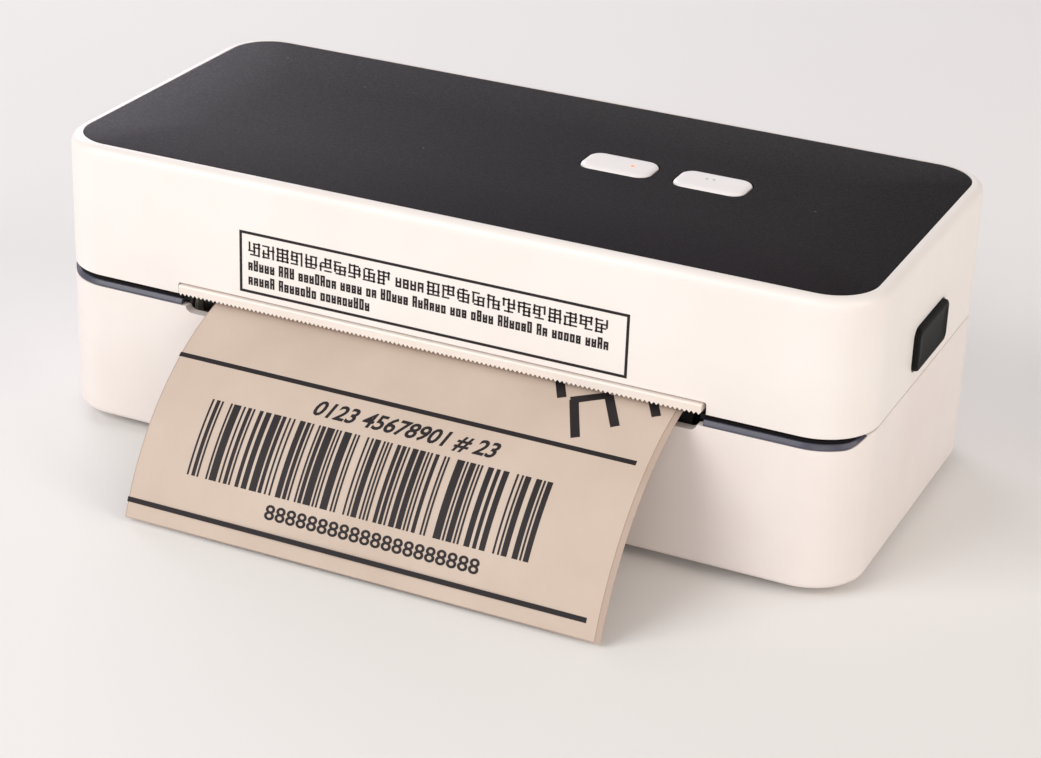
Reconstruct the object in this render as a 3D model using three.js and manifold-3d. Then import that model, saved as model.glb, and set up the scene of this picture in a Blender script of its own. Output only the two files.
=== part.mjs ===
// Desktop thermal label printer, millimetres, +Z up, front towards -Y.
// A base tub holds the platen, its gear train and the media guides. The cover hinges at the
// rear and carries the print head, the tear bar, two buttons and two side latches.
import * as THREE from "three";
import { mergeVertices } from "three/addons/utils/BufferGeometryUtils.js";
import Module from "manifold-3d";

const wasm = await Module();
wasm.setup();

// Driving dimensions
const gap = 0.3; // clearance between neighbouring pieces
const bodyWidth = 185;
const bodyDepth = 85.3;
const cornerRadius = 12.3;
const wall = 2.2;
const footHeight = 2;
const footRadius = 6;
const floorThickness = 2.4;
const baseHeight = 33.2; // tub bottom to rim
const seamGap = 0.4;
const coverHeight = 29.5;
const topFillet = 2.4;
const bottomChamfer = 1.2;
const panelInset = 2.47;
const panelThickness = 0.9;
const coverTop = 2;
const grooveDepth = 2.2; // how far the front rim is lowered
const grooveRun = 5.5; // how long the lowered rim takes to rise at each end
const slotHalf = 59; // half width of the label exit in the base
const tearHalf = 60.4; // half width of the tear bar
const slotDrop = 3.5;
const rearSlotHalf = 60;
const rearSlotDrop = 2.7;
const rearSlotRise = 2.4;
const labelWidth = 107.4;
const labelOffset = 2; // the media path is centred a little to the right
const labelThickness = 0.3;
const labelRadius = 54; // curl of the printed label
const labelLiftOff = 3; // degrees past the top of the curl where the label leaves the nip
const labelEnd = 70.6; // degrees, where the label ends just above the table
const platenRadius = 7.5;
const platenHalf = 56;
const shaftRadius = 2;
const gearModule = 0.8;
const gearFace = 5;
const platenTeeth = 22;
const idlerTeeth = 26;
const pinionTeeth = 14;
const backlash = 0.15;
const pressureAngle = 20;
const idlerDrop = 30; // degrees below level, from the platen to the idler
const motorRadius = 10;
const motorLength = 21.7;
const plateThickness = 1.5;
const guideThickness = 3.6;
const guideHeight = 7.2;
const guideTravelOut = 4;
const guideTravelIn = 25;
const rackModule = 1;
const rackTeeth = 12;
const hingeRadius = 5.2; // hinge axis to the rear face and to the cover's bottom edge
const hingePinRadius = 1.1;
const earHalfWidth = 2;
const earInset = 16.5; // hinge ears in from the body's sides
const buttonWidth = 16.1;
const buttonDepth = 9.6;
const buttonSpacing = 5.15; // between the two caps
const buttonX = 20.5;
const buttonY = 4.2;
const buttonProud = 0.5;
const buttonTravel = 0.8;
const latchWidth = 20.6;
const latchHeight = 9.5;
const latchRise = 8.1; // middle of the latch above the cover's lower edge
const latchY = -0.7;
const latchProud = 1.2;
const catchHalf = 0.75; // half thickness of the catch that a latch hooks under
const catchWidth = 14;
const tearTooth = 1; // pitch of the tear bar's teeth
const tearProud = 1;
const headLength = 114;
const headHeight = 4;
const pivotRadius = 1.25;
const springSeatRadius = 2.2;
const springX = 36;
const screwRadius = 1.2;
const screwHeadRadius = 2.7;
const bossRadius = 4.5; // base bosses round the screws
const bossHeight = 4.6;
const postRadius = 3.4; // deck posts that the screws bite into
const bushRadius = 3.5;
const idlerPostRadius = 1.8;
const motorShaftRadius = 1.5;
const rackHeight = 2.5;
const guidePostRadius = 1.2;
const boardThickness = 1.6;
const portHeight = 11;
const portDepth = 12.5;
const switchHalf = 7;
const usbHalf = 6;
const jackRadius = 4;
const ventLength = 28;
const ventWidth = 2;
const ventPitch = 5;
const sensorWidth = 8;
const sensorDepth = 6;

// Levels and places that follow from them
const halfWidth = bodyWidth / 2;
const halfDepth = bodyDepth / 2;
const baseZ = footHeight;
const floorTop = baseZ + floorThickness;
const rimZ = baseZ + baseHeight;
const frontRimZ = rimZ - grooveDepth;
const coverZ = rimZ + seamGap;
const topZ = coverZ + coverHeight;
const panelZ = topZ - panelThickness;
const roofZ = panelZ - gap - coverTop; // underside of the cover's roof
const deckTop = rimZ - rearSlotDrop;
const deckThickness = 1.2;
const deckZ = deckTop - deckThickness;
const deckHalf = 61.5;
const frontInner = -halfDepth + wall;
const rearInner = halfDepth - wall;
const frontRimEnd = -halfDepth + cornerRadius * 0.3 + grooveRun;
// The label passes the front face just under the rim, where its curl has turned this far
const exitAngle = rad(16);
const labelCentreY = -halfDepth - 0.35 + labelRadius * Math.sin(exitAngle);
const labelCentreZ = rimZ - 0.3 - labelRadius * Math.cos(exitAngle);
const nipY = labelCentreY - labelRadius * Math.sin(rad(labelLiftOff)) + 1;
const nipZ = labelCentreZ + labelRadius;
const platenZ = nipZ - labelThickness / 2 - gap - platenRadius;
const plateX = deckHalf + 0.5; // inner face of the platen brackets
const plateOuter = plateX + plateThickness;
const gearX = plateOuter + 2.5;
const portFront = rearInner - portDepth;
const buttonPitch = buttonWidth + buttonSpacing;
const earX = halfWidth - earInset;
const knuckleRadius = hingeRadius - wall - gap;
const frameHalf = earX + 5.5;
const latchZ = coverZ + latchRise;
const tearTop = coverZ + 2.4;
const tearSlot = tearHalf + gap;
const shaftEnd = gearX + gearFace + 1;
const idlerDistance = (gearModule * (platenTeeth + idlerTeeth)) / 2;
const idlerY = nipY + idlerDistance * Math.cos(rad(idlerDrop));
const idlerZ = platenZ - idlerDistance * Math.sin(rad(idlerDrop));
const pinionY = idlerY + (gearModule * (idlerTeeth + pinionTeeth)) / 2;
const pinionZ = idlerZ;
const hingeY = halfDepth - hingeRadius;
const hingeZ = coverZ + hingeRadius;
const headZ = nipZ + labelThickness / 2 + gap;
const headFront = nipY - 7.5;
const headBack = nipY + 4.5;
const bracketZ = headZ + headHeight + gap;
const pivotY = headBack + 13.5;
const pivotZ = bracketZ + 4.2;
const frameZ = roofZ - 9.3;
const frameThickness = 1.6;
const boardZ = frameZ + frameThickness + gap;
const rackY = hingeY - 13.45;
const rackPitch = (rackModule * rackTeeth) / 2;
const rackZ = deckZ - gap - rackHeight;
const guideStart = rackY - 29;
const guideFace = labelWidth / 2 + 0.5;
const frontPostY = nipY + platenRadius + 5.44;
const postX = 57;
const screwPosts = [
  [-postX, frontPostY],
  [postX, frontPostY],
  [-postX, rackY],
  [postX, rackY],
];
const sensorPlace = [12, frontPostY + 5];
const catchX = halfWidth - wall - 0.7;
const footX = halfWidth - 17.5;
const footY = halfDepth - 10.65;
const portZ = floorTop + 4.6;
const switchX = -27;
const usbX = 6;
const jackX = 26;

function rad(degrees) {
  return (degrees * Math.PI) / 180;
}

// A closed geometry as a solid that can be joined and cut
function solid(geometry) {
  const plain = geometry.clone();
  plain.deleteAttribute("normal");
  plain.deleteAttribute("uv");
  const merged = mergeVertices(plain, 1e-4);
  return new wasm.Manifold(
    new wasm.Mesh({
      numProp: 3,
      vertProperties: new Float32Array(merged.attributes.position.array),
      triVerts: new Uint32Array(merged.index.array),
    }),
  );
}

function box(x0, x1, y0, y1, z0, z1) {
  const shape = new THREE.BoxGeometry(x1 - x0, y1 - y0, z1 - z0);
  return solid(shape.translate((x0 + x1) / 2, (y0 + y1) / 2, (z0 + z1) / 2));
}

// The same box on both sides of the middle
function mirroredBoxes(x0, x1, y0, y1, z0, z1) {
  return box(x0, x1, y0, y1, z0, z1).add(box(-x1, -x0, y0, y1, z0, z1));
}

function outline(points) {
  return new THREE.Shape(points.map(([a, b]) => new THREE.Vector2(a, b)));
}

function roundedRectangle(width, depth, radius) {
  const [x, y] = [width / 2 - radius, depth / 2 - radius];
  const shape = new THREE.Shape();
  shape.absarc(x, y, radius, 0, Math.PI / 2);
  shape.absarc(-x, y, radius, Math.PI / 2, Math.PI);
  shape.absarc(-x, -y, radius, Math.PI, 1.5 * Math.PI);
  shape.absarc(x, -y, radius, 1.5 * Math.PI, 2 * Math.PI);
  return shape;
}

function extrude(shape, length, segments = 6) {
  return new THREE.ExtrudeGeometry(shape, {
    depth: length,
    bevelEnabled: false,
    curveSegments: segments,
  });
}

// Prisms: an outline of (x, y) along Z, of (x, z) along Y and of (y, z) along X
function prismZ(shape, z0, z1, segments) {
  return solid(extrude(shape, z1 - z0, segments).translate(0, 0, z0));
}

function prismY(shape, y0, y1, segments) {
  const turned = extrude(shape, y1 - y0, segments).rotateX(Math.PI / 2);
  return solid(turned.translate(0, y1, 0));
}

function prismX(shape, x0, x1, segments) {
  const cycle = new THREE.Matrix4().set(0, 0, 1, x0, 1, 0, 0, 0, 0, 1, 0, 0, 0, 0, 0, 1);
  return solid(extrude(shape, x1 - x0, segments).applyMatrix4(cycle));
}

// Round bars along Z and along X
function rodZ(x, y, radius, z0, z1, sides = 16) {
  const shape = new THREE.CylinderGeometry(radius, radius, z1 - z0, sides);
  return solid(shape.rotateX(Math.PI / 2).translate(x, y, (z0 + z1) / 2));
}

function rodX(y, z, radius, x0, x1, sides = 16) {
  const shape = new THREE.CylinderGeometry(radius, radius, x1 - x0, sides);
  return solid(shape.rotateZ(Math.PI / 2).translate((x0 + x1) / 2, y, z));
}

function rodY(x, z, radius, y0, y1, sides = 16) {
  const shape = new THREE.CylinderGeometry(radius, radius, y1 - y0, sides);
  return solid(shape.translate(x, (y0 + y1) / 2, z));
}

// A block with rounded upright corners, placed by its middle
function padZ(x, y, width, depth, radius, z0, z1, segments = 4) {
  return prismZ(roundedRectangle(width, depth, radius), z0, z1, segments).translate([x, y, 0]);
}

// The body's plan outline, inset from its outer faces, with an eased end of the given size
function bodyBlock(inset, z0, z1, eased = 0, steps = 1) {
  const radius = Math.max(cornerRadius - inset, 1);
  const shape = roundedRectangle(bodyWidth - 2 * inset, bodyDepth - 2 * inset, radius);
  if (!eased) return prismZ(shape, z0, z1);
  const geometry = new THREE.ExtrudeGeometry(shape, {
    depth: z1 - z0 - 2 * eased,
    bevelThickness: eased,
    bevelSize: eased,
    bevelOffset: -eased,
    bevelSegments: steps,
    curveSegments: 6,
  });
  return solid(geometry.translate(0, 0, z0 + eased));
}

function piece(name, made, color, roughness = 0.6, metalness = 0) {
  const { vertProperties, triVerts } = made.getMesh();
  const geometry = new THREE.BufferGeometry();
  geometry.setAttribute("position", new THREE.BufferAttribute(vertProperties, 3));
  geometry.setIndex(new THREE.BufferAttribute(triVerts, 1));
  geometry.computeVertexNormals();
  const material = new THREE.MeshStandardMaterial({ color, roughness, metalness });
  const mesh = new THREE.Mesh(geometry, material);
  mesh.name = name;
  return mesh;
}

const white = 0xeee6e2;
const black = 0x1d1a1e;
const steel = 0xa9acb0;
const darkRubber = 0x26262a;
const nylon = 0xe6e2d6;

const sides = [
  ["left", -1],
  ["right", 1],
];

// Outline of a spur gear with involute flanks, turned by phase degrees
function gearOutline(teeth, module, phase, bore) {
  const pitch = (teeth * module) / 2;
  const base = pitch * Math.cos(rad(pressureAngle));
  const tip = pitch + 0.85 * module;
  const root = pitch - 1.15 * module;
  const involute = (radius) => {
    const angle = Math.acos(Math.min(1, base / radius));
    return Math.tan(angle) - angle;
  };
  const halfTooth = (Math.PI * module) / 2 / 2 / pitch - backlash / 2 / pitch;
  const flank = [root, Math.max(base, root + 0.05), pitch, tip].map((radius) => [
    radius,
    halfTooth + involute(pitch) - involute(radius),
  ]);
  const points = [];
  for (let k = 0; k < teeth; k++) {
    const middle = (2 * Math.PI * k) / teeth + rad(phase);
    flank.forEach(([radius, half]) => points.push([radius, middle - half]));
    [...flank].reverse().forEach(([radius, half]) => points.push([radius, middle + half]));
  }
  const shape = outline(points.map(([r, a]) => [r * Math.cos(a), r * Math.sin(a)]));
  const hole = new THREE.Path();
  hole.absarc(0, 0, bore, 0, 2 * Math.PI);
  shape.holes.push(hole);
  return shape;
}

function trainGear(teeth, phase, bore, y, z) {
  const wheel = prismX(gearOutline(teeth, gearModule, phase, bore), gearX, gearX + gearFace, 8);
  return wheel.translate([0, y, z]);
}

// The phase of a gear that meshes with another one, seen from it in a direction in degrees
function meshedPhase(teeth, otherTeeth, otherPhase, direction) {
  const share = (otherTeeth * (direction - otherPhase)) / 360;
  const needed = 0.5 - (share - Math.floor(share));
  return direction + 180 - (360 * needed) / teeth;
}

// Base: an open tub with a lowered front rim, a label slot and rear openings
function baseShell() {
  let tub = bodyBlock(0, baseZ, rimZ + 2 * bottomChamfer, bottomChamfer);
  tub = tub.subtract(box(-halfWidth, halfWidth, -halfDepth, halfDepth, rimZ, topZ));
  tub = tub.subtract(bodyBlock(wall, floorTop, topZ));
  const dip = outline([
    [-halfDepth - 1, frontRimZ],
    [frontRimEnd - grooveRun, frontRimZ],
    [frontRimEnd, rimZ],
    [frontRimEnd, rimZ + 1],
    [-halfDepth - 1, rimZ + 1],
  ]);
  tub = tub.subtract(prismX(dip, -halfWidth - 1, halfWidth + 1));
  const slot = roundedRectangle(2 * slotHalf, 2 * slotDrop, 1.5);
  tub = tub.subtract(prismY(slot, -halfDepth - 1, frontInner + 1, 3).translate([0, 0, rimZ]));
  tub = tub.subtract(
    box(-rearSlotHalf, rearSlotHalf, rearInner - 1, halfDepth + 1, deckTop, rimZ + 1),
  );
  for (const [x, y] of screwPosts) {
    tub = tub.add(rodZ(x, y, bossRadius, floorTop - 0.5, floorTop + bossHeight));
    tub = tub.subtract(rodZ(x, y, screwRadius + 0.4, baseZ - 1, floorTop + bossHeight + 1));
    tub = tub.subtract(rodZ(x, y, screwHeadRadius + 0.4, baseZ - 1, floorTop + 0.6));
  }
  for (const x of [-footX, footX])
    for (const y of [-footY, footY])
      tub = tub.subtract(rodZ(x, y, footRadius / 3 + gap, baseZ - 1, floorTop + 1));
  for (const [, side] of sides) {
    const x = side * catchX;
    const [y0, y1] = [latchY - catchWidth / 2, latchY + catchWidth / 2];
    tub = tub.add(box(x - catchHalf, x + catchHalf, y0, y1, rimZ - 4.2, rimZ - 1.4));
    const [near, far] = [side * ventLength * 0.5, side * ventLength * 1.5].sort((a, b) => a - b);
    for (let k = 0; k < 6; k++) {
      const y = -12 + k * ventPitch;
      tub = tub.subtract(box(near, far, y, y + ventWidth, baseZ - 1, floorTop + 1));
    }
  }
  const holeX = [
    [switchX, switchHalf + gap],
    [usbX, usbHalf + gap],
  ];
  for (const [x, half] of holeX)
    tub = tub.subtract(
      box(x - half, x + half, rearInner - 1, halfDepth + 1, portZ - gap, portZ + portHeight + gap),
    );
  return tub.subtract(
    rodY(jackX, portZ + portHeight / 2, jackRadius + gap, rearInner - 1, halfDepth + 1, 18),
  );
}

// Dark strips that lie in the front groove beside the label slot
function trimStrip(side) {
  const height = frontRimZ + gap;
  const bevel = 0.8;
  let ring = bodyBlock(0.5, height - 2, height + 1.3 + bevel, bevel);
  ring = ring.subtract(bodyBlock(wall - 0.2, height - 3, height + 3));
  const zone = outline([
    [-halfDepth - 1, height],
    [frontRimEnd - grooveRun - gap, height],
    [frontRimEnd - gap - 1.6, rimZ - 0.5],
    [-halfDepth - 1, rimZ - 0.5],
  ]);
  const inner = slotHalf + gap;
  return ring.intersect(
    side > 0 ? prismX(zone, inner, halfWidth) : prismX(zone, -halfWidth, -inner),
  );
}

function foot(x, y) {
  const pad = rodZ(x, y, footRadius, 0, footHeight - gap, 28);
  return pad.add(rodZ(x, y, footRadius / 3, footHeight - gap - 0.2, floorTop, 16));
}

function baseScrew(x, y) {
  const head = rodZ(x, y, screwHeadRadius, baseZ + 0.5, floorTop + 0.3);
  const socket = rodZ(x, y, 1.1, baseZ, baseZ + 1.6, 6);
  return head.add(rodZ(x, y, screwRadius, floorTop, floorTop + 11, 12)).subtract(socket);
}

// Deck that the media slides over, with posts for the base screws and slots for the guides
function mediaDeck() {
  const front = nipY + platenRadius + 1;
  let deck = box(-deckHalf, deckHalf, front, rearInner - gap, deckZ, deckTop);
  deck = deck.add(box(-deckHalf, deckHalf, front, front + 1.2, deckZ - 5, deckTop));
  for (const [x, y] of screwPosts) {
    deck = deck.add(rodZ(x, y, postRadius, floorTop + bossHeight + gap, deckTop - 0.4));
    deck = deck.subtract(rodZ(x, y, screwRadius + gap, floorTop + 4, floorTop + 12, 12));
  }
  const webInner = guideFace + guideThickness;
  for (const [, side] of sides) {
    const y = rackY + side * (rackPitch + 3);
    const ends = [
      labelOffset + side * (webInner + guideTravelOut + gap),
      labelOffset + side * (guideFace - guideTravelIn - gap),
    ];
    deck = deck.subtract(
      box(Math.min(...ends), Math.max(...ends), y - 1.1, y + 1.1, deckZ - 1, deckTop + 1),
    );
  }
  deck = deck.subtract(rodZ(labelOffset, rackY, guidePostRadius + gap, deckZ - 1, deckTop + 1));
  const [x, y] = sensorPlace;
  const [halfX, halfY] = [sensorWidth / 2 + gap, sensorDepth / 2 + gap];
  return deck.subtract(box(x - halfX, x + halfX, y - halfY, y + halfY, deckZ - 1, deckTop + 1));
}

function mediaSensor() {
  const [x, y] = sensorPlace;
  const [halfX, halfY] = [sensorWidth / 2, sensorDepth / 2];
  const block = box(x - halfX, x + halfX, y - halfY, y + halfY, deckZ - 4, deckTop - gap);
  return block.subtract(box(x - 1.5, x + 1.5, y - 1, y + 1, deckTop - 1.3, deckTop));
}

// Steel plates that carry the platen; the right one also carries the idler and the motor
function platenBracket(side) {
  const [x0, x1] = side > 0 ? [plateX, plateOuter] : [-plateOuter, -plateX];
  const foot0 = floorTop + gap;
  let plate = box(x0, x1, frontInner + 1, nipY + platenRadius + 1, foot0, platenZ + 5.6);
  const flange = side > 0 ? [x0 - 3.6, x0 + 0.2] : [x1 - 0.2, x1 + 3.6];
  plate = plate.add(box(...flange, frontInner + 1, nipY + platenRadius, foot0, foot0 + 1.5));
  if (side > 0) {
    plate = plate.add(box(x0, x1, nipY, pinionY + 15, foot0, pinionZ + 9));
    plate = plate.subtract(rodX(pinionY, pinionZ, bushRadius + gap, x0 - 1, x1 + 1, 18));
  }
  return plate.subtract(rodX(nipY, platenZ, bushRadius + gap, x0 - 1, x1 + 1, 18));
}

function platenBush(side) {
  const [a, b] = [side * (plateX - 1), side * (plateOuter + 0.6)];
  const c = side * (plateX - gap);
  let bush = rodX(nipY, platenZ, bushRadius, Math.min(a, b), Math.max(a, b), 18);
  bush = bush.add(rodX(nipY, platenZ, bushRadius + 1.1, Math.min(a, c), Math.max(a, c), 18));
  return bush.subtract(rodX(nipY, platenZ, shaftRadius + gap, -halfWidth, halfWidth, 18));
}

function platenRoller() {
  const barrel = rodX(nipY, platenZ, platenRadius, -platenHalf, platenHalf, 36);
  return barrel.subtract(
    rodX(nipY, platenZ, shaftRadius + 1 + gap, -platenHalf - 1, platenHalf + 1, 18),
  );
}

function platenShaft() {
  const core = rodX(nipY, platenZ, shaftRadius + 1, -platenHalf - 1, platenHalf + 1, 18);
  return core.add(rodX(nipY, platenZ, shaftRadius, -plateOuter - 1.5, shaftEnd, 18));
}

const platenPhase = 0;
const idlerPhase = meshedPhase(idlerTeeth, platenTeeth, platenPhase, -idlerDrop);
const pinionPhase = meshedPhase(pinionTeeth, idlerTeeth, idlerPhase, 0);

function platenGear() {
  return trainGear(platenTeeth, platenPhase, shaftRadius + gap, nipY, platenZ);
}

function idlerGear() {
  return trainGear(idlerTeeth, idlerPhase, idlerPostRadius + gap, idlerY, idlerZ);
}

function motorPinion() {
  return trainGear(pinionTeeth, pinionPhase, motorShaftRadius + gap, pinionY, pinionZ);
}

function idlerPost() {
  const post = rodX(idlerY, idlerZ, idlerPostRadius, plateOuter + gap, shaftEnd, 20);
  return post.add(rodX(idlerY, idlerZ, idlerPostRadius + 1.6, plateOuter + gap, gearX - 0.5, 20));
}

function motor() {
  const end = plateX - gap;
  let can = rodX(pinionY, pinionZ, motorRadius, end - motorLength, end, 24);
  can = can.add(rodX(pinionY, pinionZ, bushRadius, end - 1, plateOuter + gap, 18));
  can = can.add(
    box(end - 0.8, end, pinionY - 14, pinionY + 14, pinionZ - 2.5, pinionZ + 2.5),
  );
  return can.subtract(rodX(pinionY, pinionZ, motorShaftRadius + gap, end - 4, plateOuter + 2, 16));
}

function motorShaft() {
  return rodX(pinionY, pinionZ, motorShaftRadius, plateX - gap - 3.6, shaftEnd, 16);
}

// Circuit board with its main parts, each sunk a little into the board
function mainBoard() {
  const [z0, z1] = [floorTop + 2.6, floorTop + 2.6 + boardThickness];
  const front = rackY - 13;
  let board = box(-48, 36, front, portFront - 0.8, z0, z1);
  // middle, width, depth and height of each part
  const parts = [
    [-40, front + 6, 12, 10, 2],
    [-20, front + 5, 8, 8, 1.6],
    [-4, front + 9, 6, 6, 4],
    [24, front + 5, 9, 5, 6],
    [10, front + 6, 5, 9, 2.4],
  ];
  for (const [x, y, w, d, h] of parts)
    board = board.add(box(x - w / 2, x + w / 2, y - d / 2, y + d / 2, z1 - 0.2, z1 + h));
  for (const [x, y] of [
    [-44, front + 3],
    [32, front + 3],
  ])
    board = board.subtract(rodZ(x, y, 1.4, z0 - 1, z1 + 1, 12));
  return board;
}

// Sockets that look out of the rear wall
function dcJack() {
  const z = portZ + portHeight / 2;
  const ends = [portFront, rearInner - gap, portZ, portZ + portHeight];
  let jack = box(jackX - jackRadius - 1, jackX + jackRadius + 1, ...ends);
  jack = jack.add(rodY(jackX, z, jackRadius, rearInner - 1, halfDepth - 0.2, 18));
  jack = jack.subtract(rodY(jackX, z, 2.9, rearInner - 8, halfDepth + 1, 18));
  return jack.add(rodY(jackX, z, 0.9, rearInner - 8.5, halfDepth - 1.2, 12));
}

function usbPort() {
  const [y0, y1] = [portFront, halfDepth - 0.2];
  const [z0, z1] = [portZ, portZ + portHeight];
  let shell = box(usbX - usbHalf, usbX + usbHalf, y0, y1, z0, z1);
  shell = shell.subtract(box(usbX - 4.4, usbX + 4.4, y1 - 9, y1 + 1, z0 + 1.4, z1 - 1.6));
  return shell.add(box(usbX - 2.9, usbX + 2.9, y1 - 9.5, y1 - 1, z0 + 3.8, z1 - 4));
}

function switchHousing() {
  const [y0, y1] = [portFront, halfDepth - 0.2];
  const [z0, z1] = [portZ, portZ + portHeight];
  const housing = box(switchX - switchHalf, switchX + switchHalf, y0, y1, z0, z1);
  const hollow = switchHalf - 1.4;
  return housing.subtract(
    box(switchX - hollow, switchX + hollow, y1 - 8, y1 + 1, z0 + 0.9, z1 - 0.9),
  );
}

const rockerY = halfDepth - 4;
const rockerZ = portZ + portHeight / 2;

// Rocker drawn in its off position, tipped by half of its throw
function powerRocker() {
  const face = outline([
    [-3, -2.6],
    [3.4, -4],
    [2.6, 0],
    [3.4, 4],
    [-3, 2.6],
  ]);
  const rocker = prismX(face, -5.2, 5.2).subtract(rodX(0, 0, 0.9, -6, 6, 12));
  return rocker.rotate([8, 0, 0]).translate([switchX, rockerY, rockerZ]);
}

function rockerPin() {
  return rodX(rockerY, rockerZ, 0.6, switchX - 5.3, switchX + 5.3, 12);
}

// Upright ears at the rear that the cover's hinge pins run in
function hingeBracket(side) {
  const x = side * earX;
  const foot0 = floorTop + gap;
  let bracket = box(
    x - earHalfWidth,
    x + earHalfWidth,
    hingeY - knuckleRadius,
    hingeY + knuckleRadius,
    foot0,
    hingeZ,
  );
  bracket = bracket.add(
    rodX(hingeY, hingeZ, knuckleRadius, x - earHalfWidth, x + earHalfWidth, 18),
  );
  bracket = bracket.add(
    box(x - 6, x + 6, hingeY - 12, hingeY + knuckleRadius, foot0, foot0 + 2.4),
  );
  const web = outline([
    [hingeY - 12, foot0 + 2],
    [hingeY, foot0 + 2],
    [hingeY, foot0 + 20],
  ]);
  bracket = bracket.add(prismX(web, x - 1, x + 1));
  return bracket.subtract(
    rodX(hingeY, hingeZ, hingePinRadius + gap, x - 3, x + 3, 20),
  );
}

function hingePin(side) {
  const ends = [side * (earX - 5.5), side * (earX + 5.5)].sort((a, b) => a - b);
  return rodX(hingeY, hingeZ, hingePinRadius, ...ends, 16);
}

// The printed label: a strip that follows an arc from the nip to the table
function printedLabel() {
  const steps = 16;
  const at = (radius, k) => {
    const angle = rad(labelLiftOff + ((labelEnd - labelLiftOff) * k) / steps);
    return [labelCentreY - radius * Math.sin(angle), labelCentreZ + radius * Math.cos(angle)];
  };
  const points = [];
  for (let k = 0; k <= steps; k++) points.push(at(labelRadius + labelThickness / 2, k));
  for (let k = steps; k >= 0; k--) points.push(at(labelRadius - labelThickness / 2, k));
  return prismX(outline(points), labelOffset - labelWidth / 2, labelOffset + labelWidth / 2);
}

// Media guides: upright fences with a rack each, geared to one pinion under the deck
function mediaGuide(side) {
  const face = labelOffset + side * guideFace;
  const outer = face + side * guideThickness;
  const rackLine = rackY + side * rackPitch;
  const [xa, xb] = [Math.min(face, outer), Math.max(face, outer)];
  const fence = outline([
    [guideStart, deckTop + gap],
    [rackY + 11, deckTop + gap],
    [rackY + 11, deckTop + 2.2],
    [rackY + 7.6, deckTop + 2.7],
    [rackY + 7.6, deckTop + guideHeight - 2],
    [rackY + 5.6, deckTop + guideHeight],
    [guideStart + 4, deckTop + guideHeight],
    [guideStart, deckTop + guideHeight - 4],
  ]);
  const webY = rackLine + side * 3;
  let guide = prismX(fence, xa, xb);
  guide = guide.add(box(xa + 0.4, xb - 0.4, webY - 0.8, webY + 0.8, rackZ + 1, deckTop + 1));
  const reach = labelOffset - side * (rackPitch + guideTravelOut + 2);
  const pitch = Math.PI * rackModule;
  const tipHalf = pitch / 4 - 0.31 - backlash / 2;
  const rootHalf = pitch / 4 + 0.42 - backlash / 2;
  const back = rackLine + side * (1.25 + 3.2);
  const root = rackLine + side * 1.15;
  const far = outer - side * 0.2;
  const [x0, x1] = [Math.min(reach, far), Math.max(reach, far)];
  const bar = [Math.min(root, back), Math.max(root, back)];
  guide = guide.add(box(x0, x1, bar[0], bar[1], rackZ, rackZ + rackHeight));
  const first = Math.ceil((x0 - labelOffset) / pitch) + 1;
  const last = Math.floor((x1 - labelOffset) / pitch) - 1;
  for (let k = first; k <= last; k++) {
    const x = labelOffset + (k + 0.5) * pitch;
    if (Math.abs(x - labelOffset) > rackPitch + guideTravelIn + 8) continue;
    const tooth = outline([
      [x - rootHalf, root + side * 0.3],
      [x - tipHalf, rackLine - side * 0.85],
      [x + tipHalf, rackLine - side * 0.85],
      [x + rootHalf, root + side * 0.3],
    ]);
    guide = guide.add(prismZ(tooth, rackZ, rackZ + rackHeight));
  }
  return guide;
}

function guidePinion() {
  const wheel = gearOutline(rackTeeth, rackModule, 90, guidePostRadius);
  const top = rackZ + rackHeight;
  let made = prismZ(wheel, rackZ, top, 8).translate([labelOffset, rackY, 0]);
  made = made.add(rodZ(labelOffset, rackY, guidePostRadius + 0.2, rackZ, top + 0.1, 12));
  return made.add(rodZ(labelOffset, rackY, guidePostRadius, top - 0.5, deckTop - 0.2, 12));
}

// Cover shell: eased top edge, roof with a recess for the panel, openings for what it carries
function coverShell() {
  let shell = bodyBlock(0, coverZ - 2 * topFillet, topZ, topFillet, 3);
  shell = shell.subtract(
    box(-halfWidth - 1, halfWidth + 1, -halfDepth - 1, halfDepth + 1, 0, coverZ),
  );
  shell = shell.subtract(bodyBlock(wall, coverZ - 1, roofZ));
  shell = shell.subtract(bodyBlock(panelInset, panelZ - gap, topZ + 1));
  const corner = box(-halfWidth, halfWidth, hingeY, halfDepth + 1, coverZ - 1, hingeZ);
  const round = rodX(hingeY, hingeZ, hingeRadius, -halfWidth, halfWidth, 32);
  shell = shell.subtract(corner.subtract(round));
  for (const [, side] of sides) {
    const x = side * earX;
    const half = earHalfWidth + 0.4;
    shell = shell.subtract(
      box(x - half, x + half, hingeY - 4, halfDepth + 1, coverZ - 1, hingeZ + 3.5),
    );
    const window = box(
      side * halfWidth - 4,
      side * halfWidth + 4,
      latchY - latchWidth / 2 - gap,
      latchY + latchWidth / 2 + gap,
      latchZ - latchHeight / 2 - gap,
      latchZ + latchHeight / 2 + gap,
    );
    shell = shell.subtract(window);
  }
  shell = shell.subtract(
    box(-tearSlot, tearSlot, -halfDepth - 1, frontInner + 1, coverZ - 1, tearTop + gap),
  );
  shell = shell.subtract(
    box(
      -rearSlotHalf,
      rearSlotHalf,
      rearInner - 3,
      halfDepth + 1,
      coverZ - 1,
      coverZ + rearSlotRise,
    ),
  );
  for (const x of [buttonX, buttonX + buttonPitch])
    shell = shell.subtract(
      padZ(x, buttonY, buttonWidth + 2 * gap, buttonDepth + 2 * gap, 3, roofZ - 1, topZ),
    );
  return shell;
}

function topPanel() {
  let panel = bodyBlock(panelInset + gap, panelZ, topZ);
  for (const x of [buttonX, buttonX + buttonPitch])
    panel = panel.subtract(
      padZ(x, buttonY, buttonWidth + 2 * gap, buttonDepth + 2 * gap, 3, roofZ, topZ + 1),
    );
  return panel;
}

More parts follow.
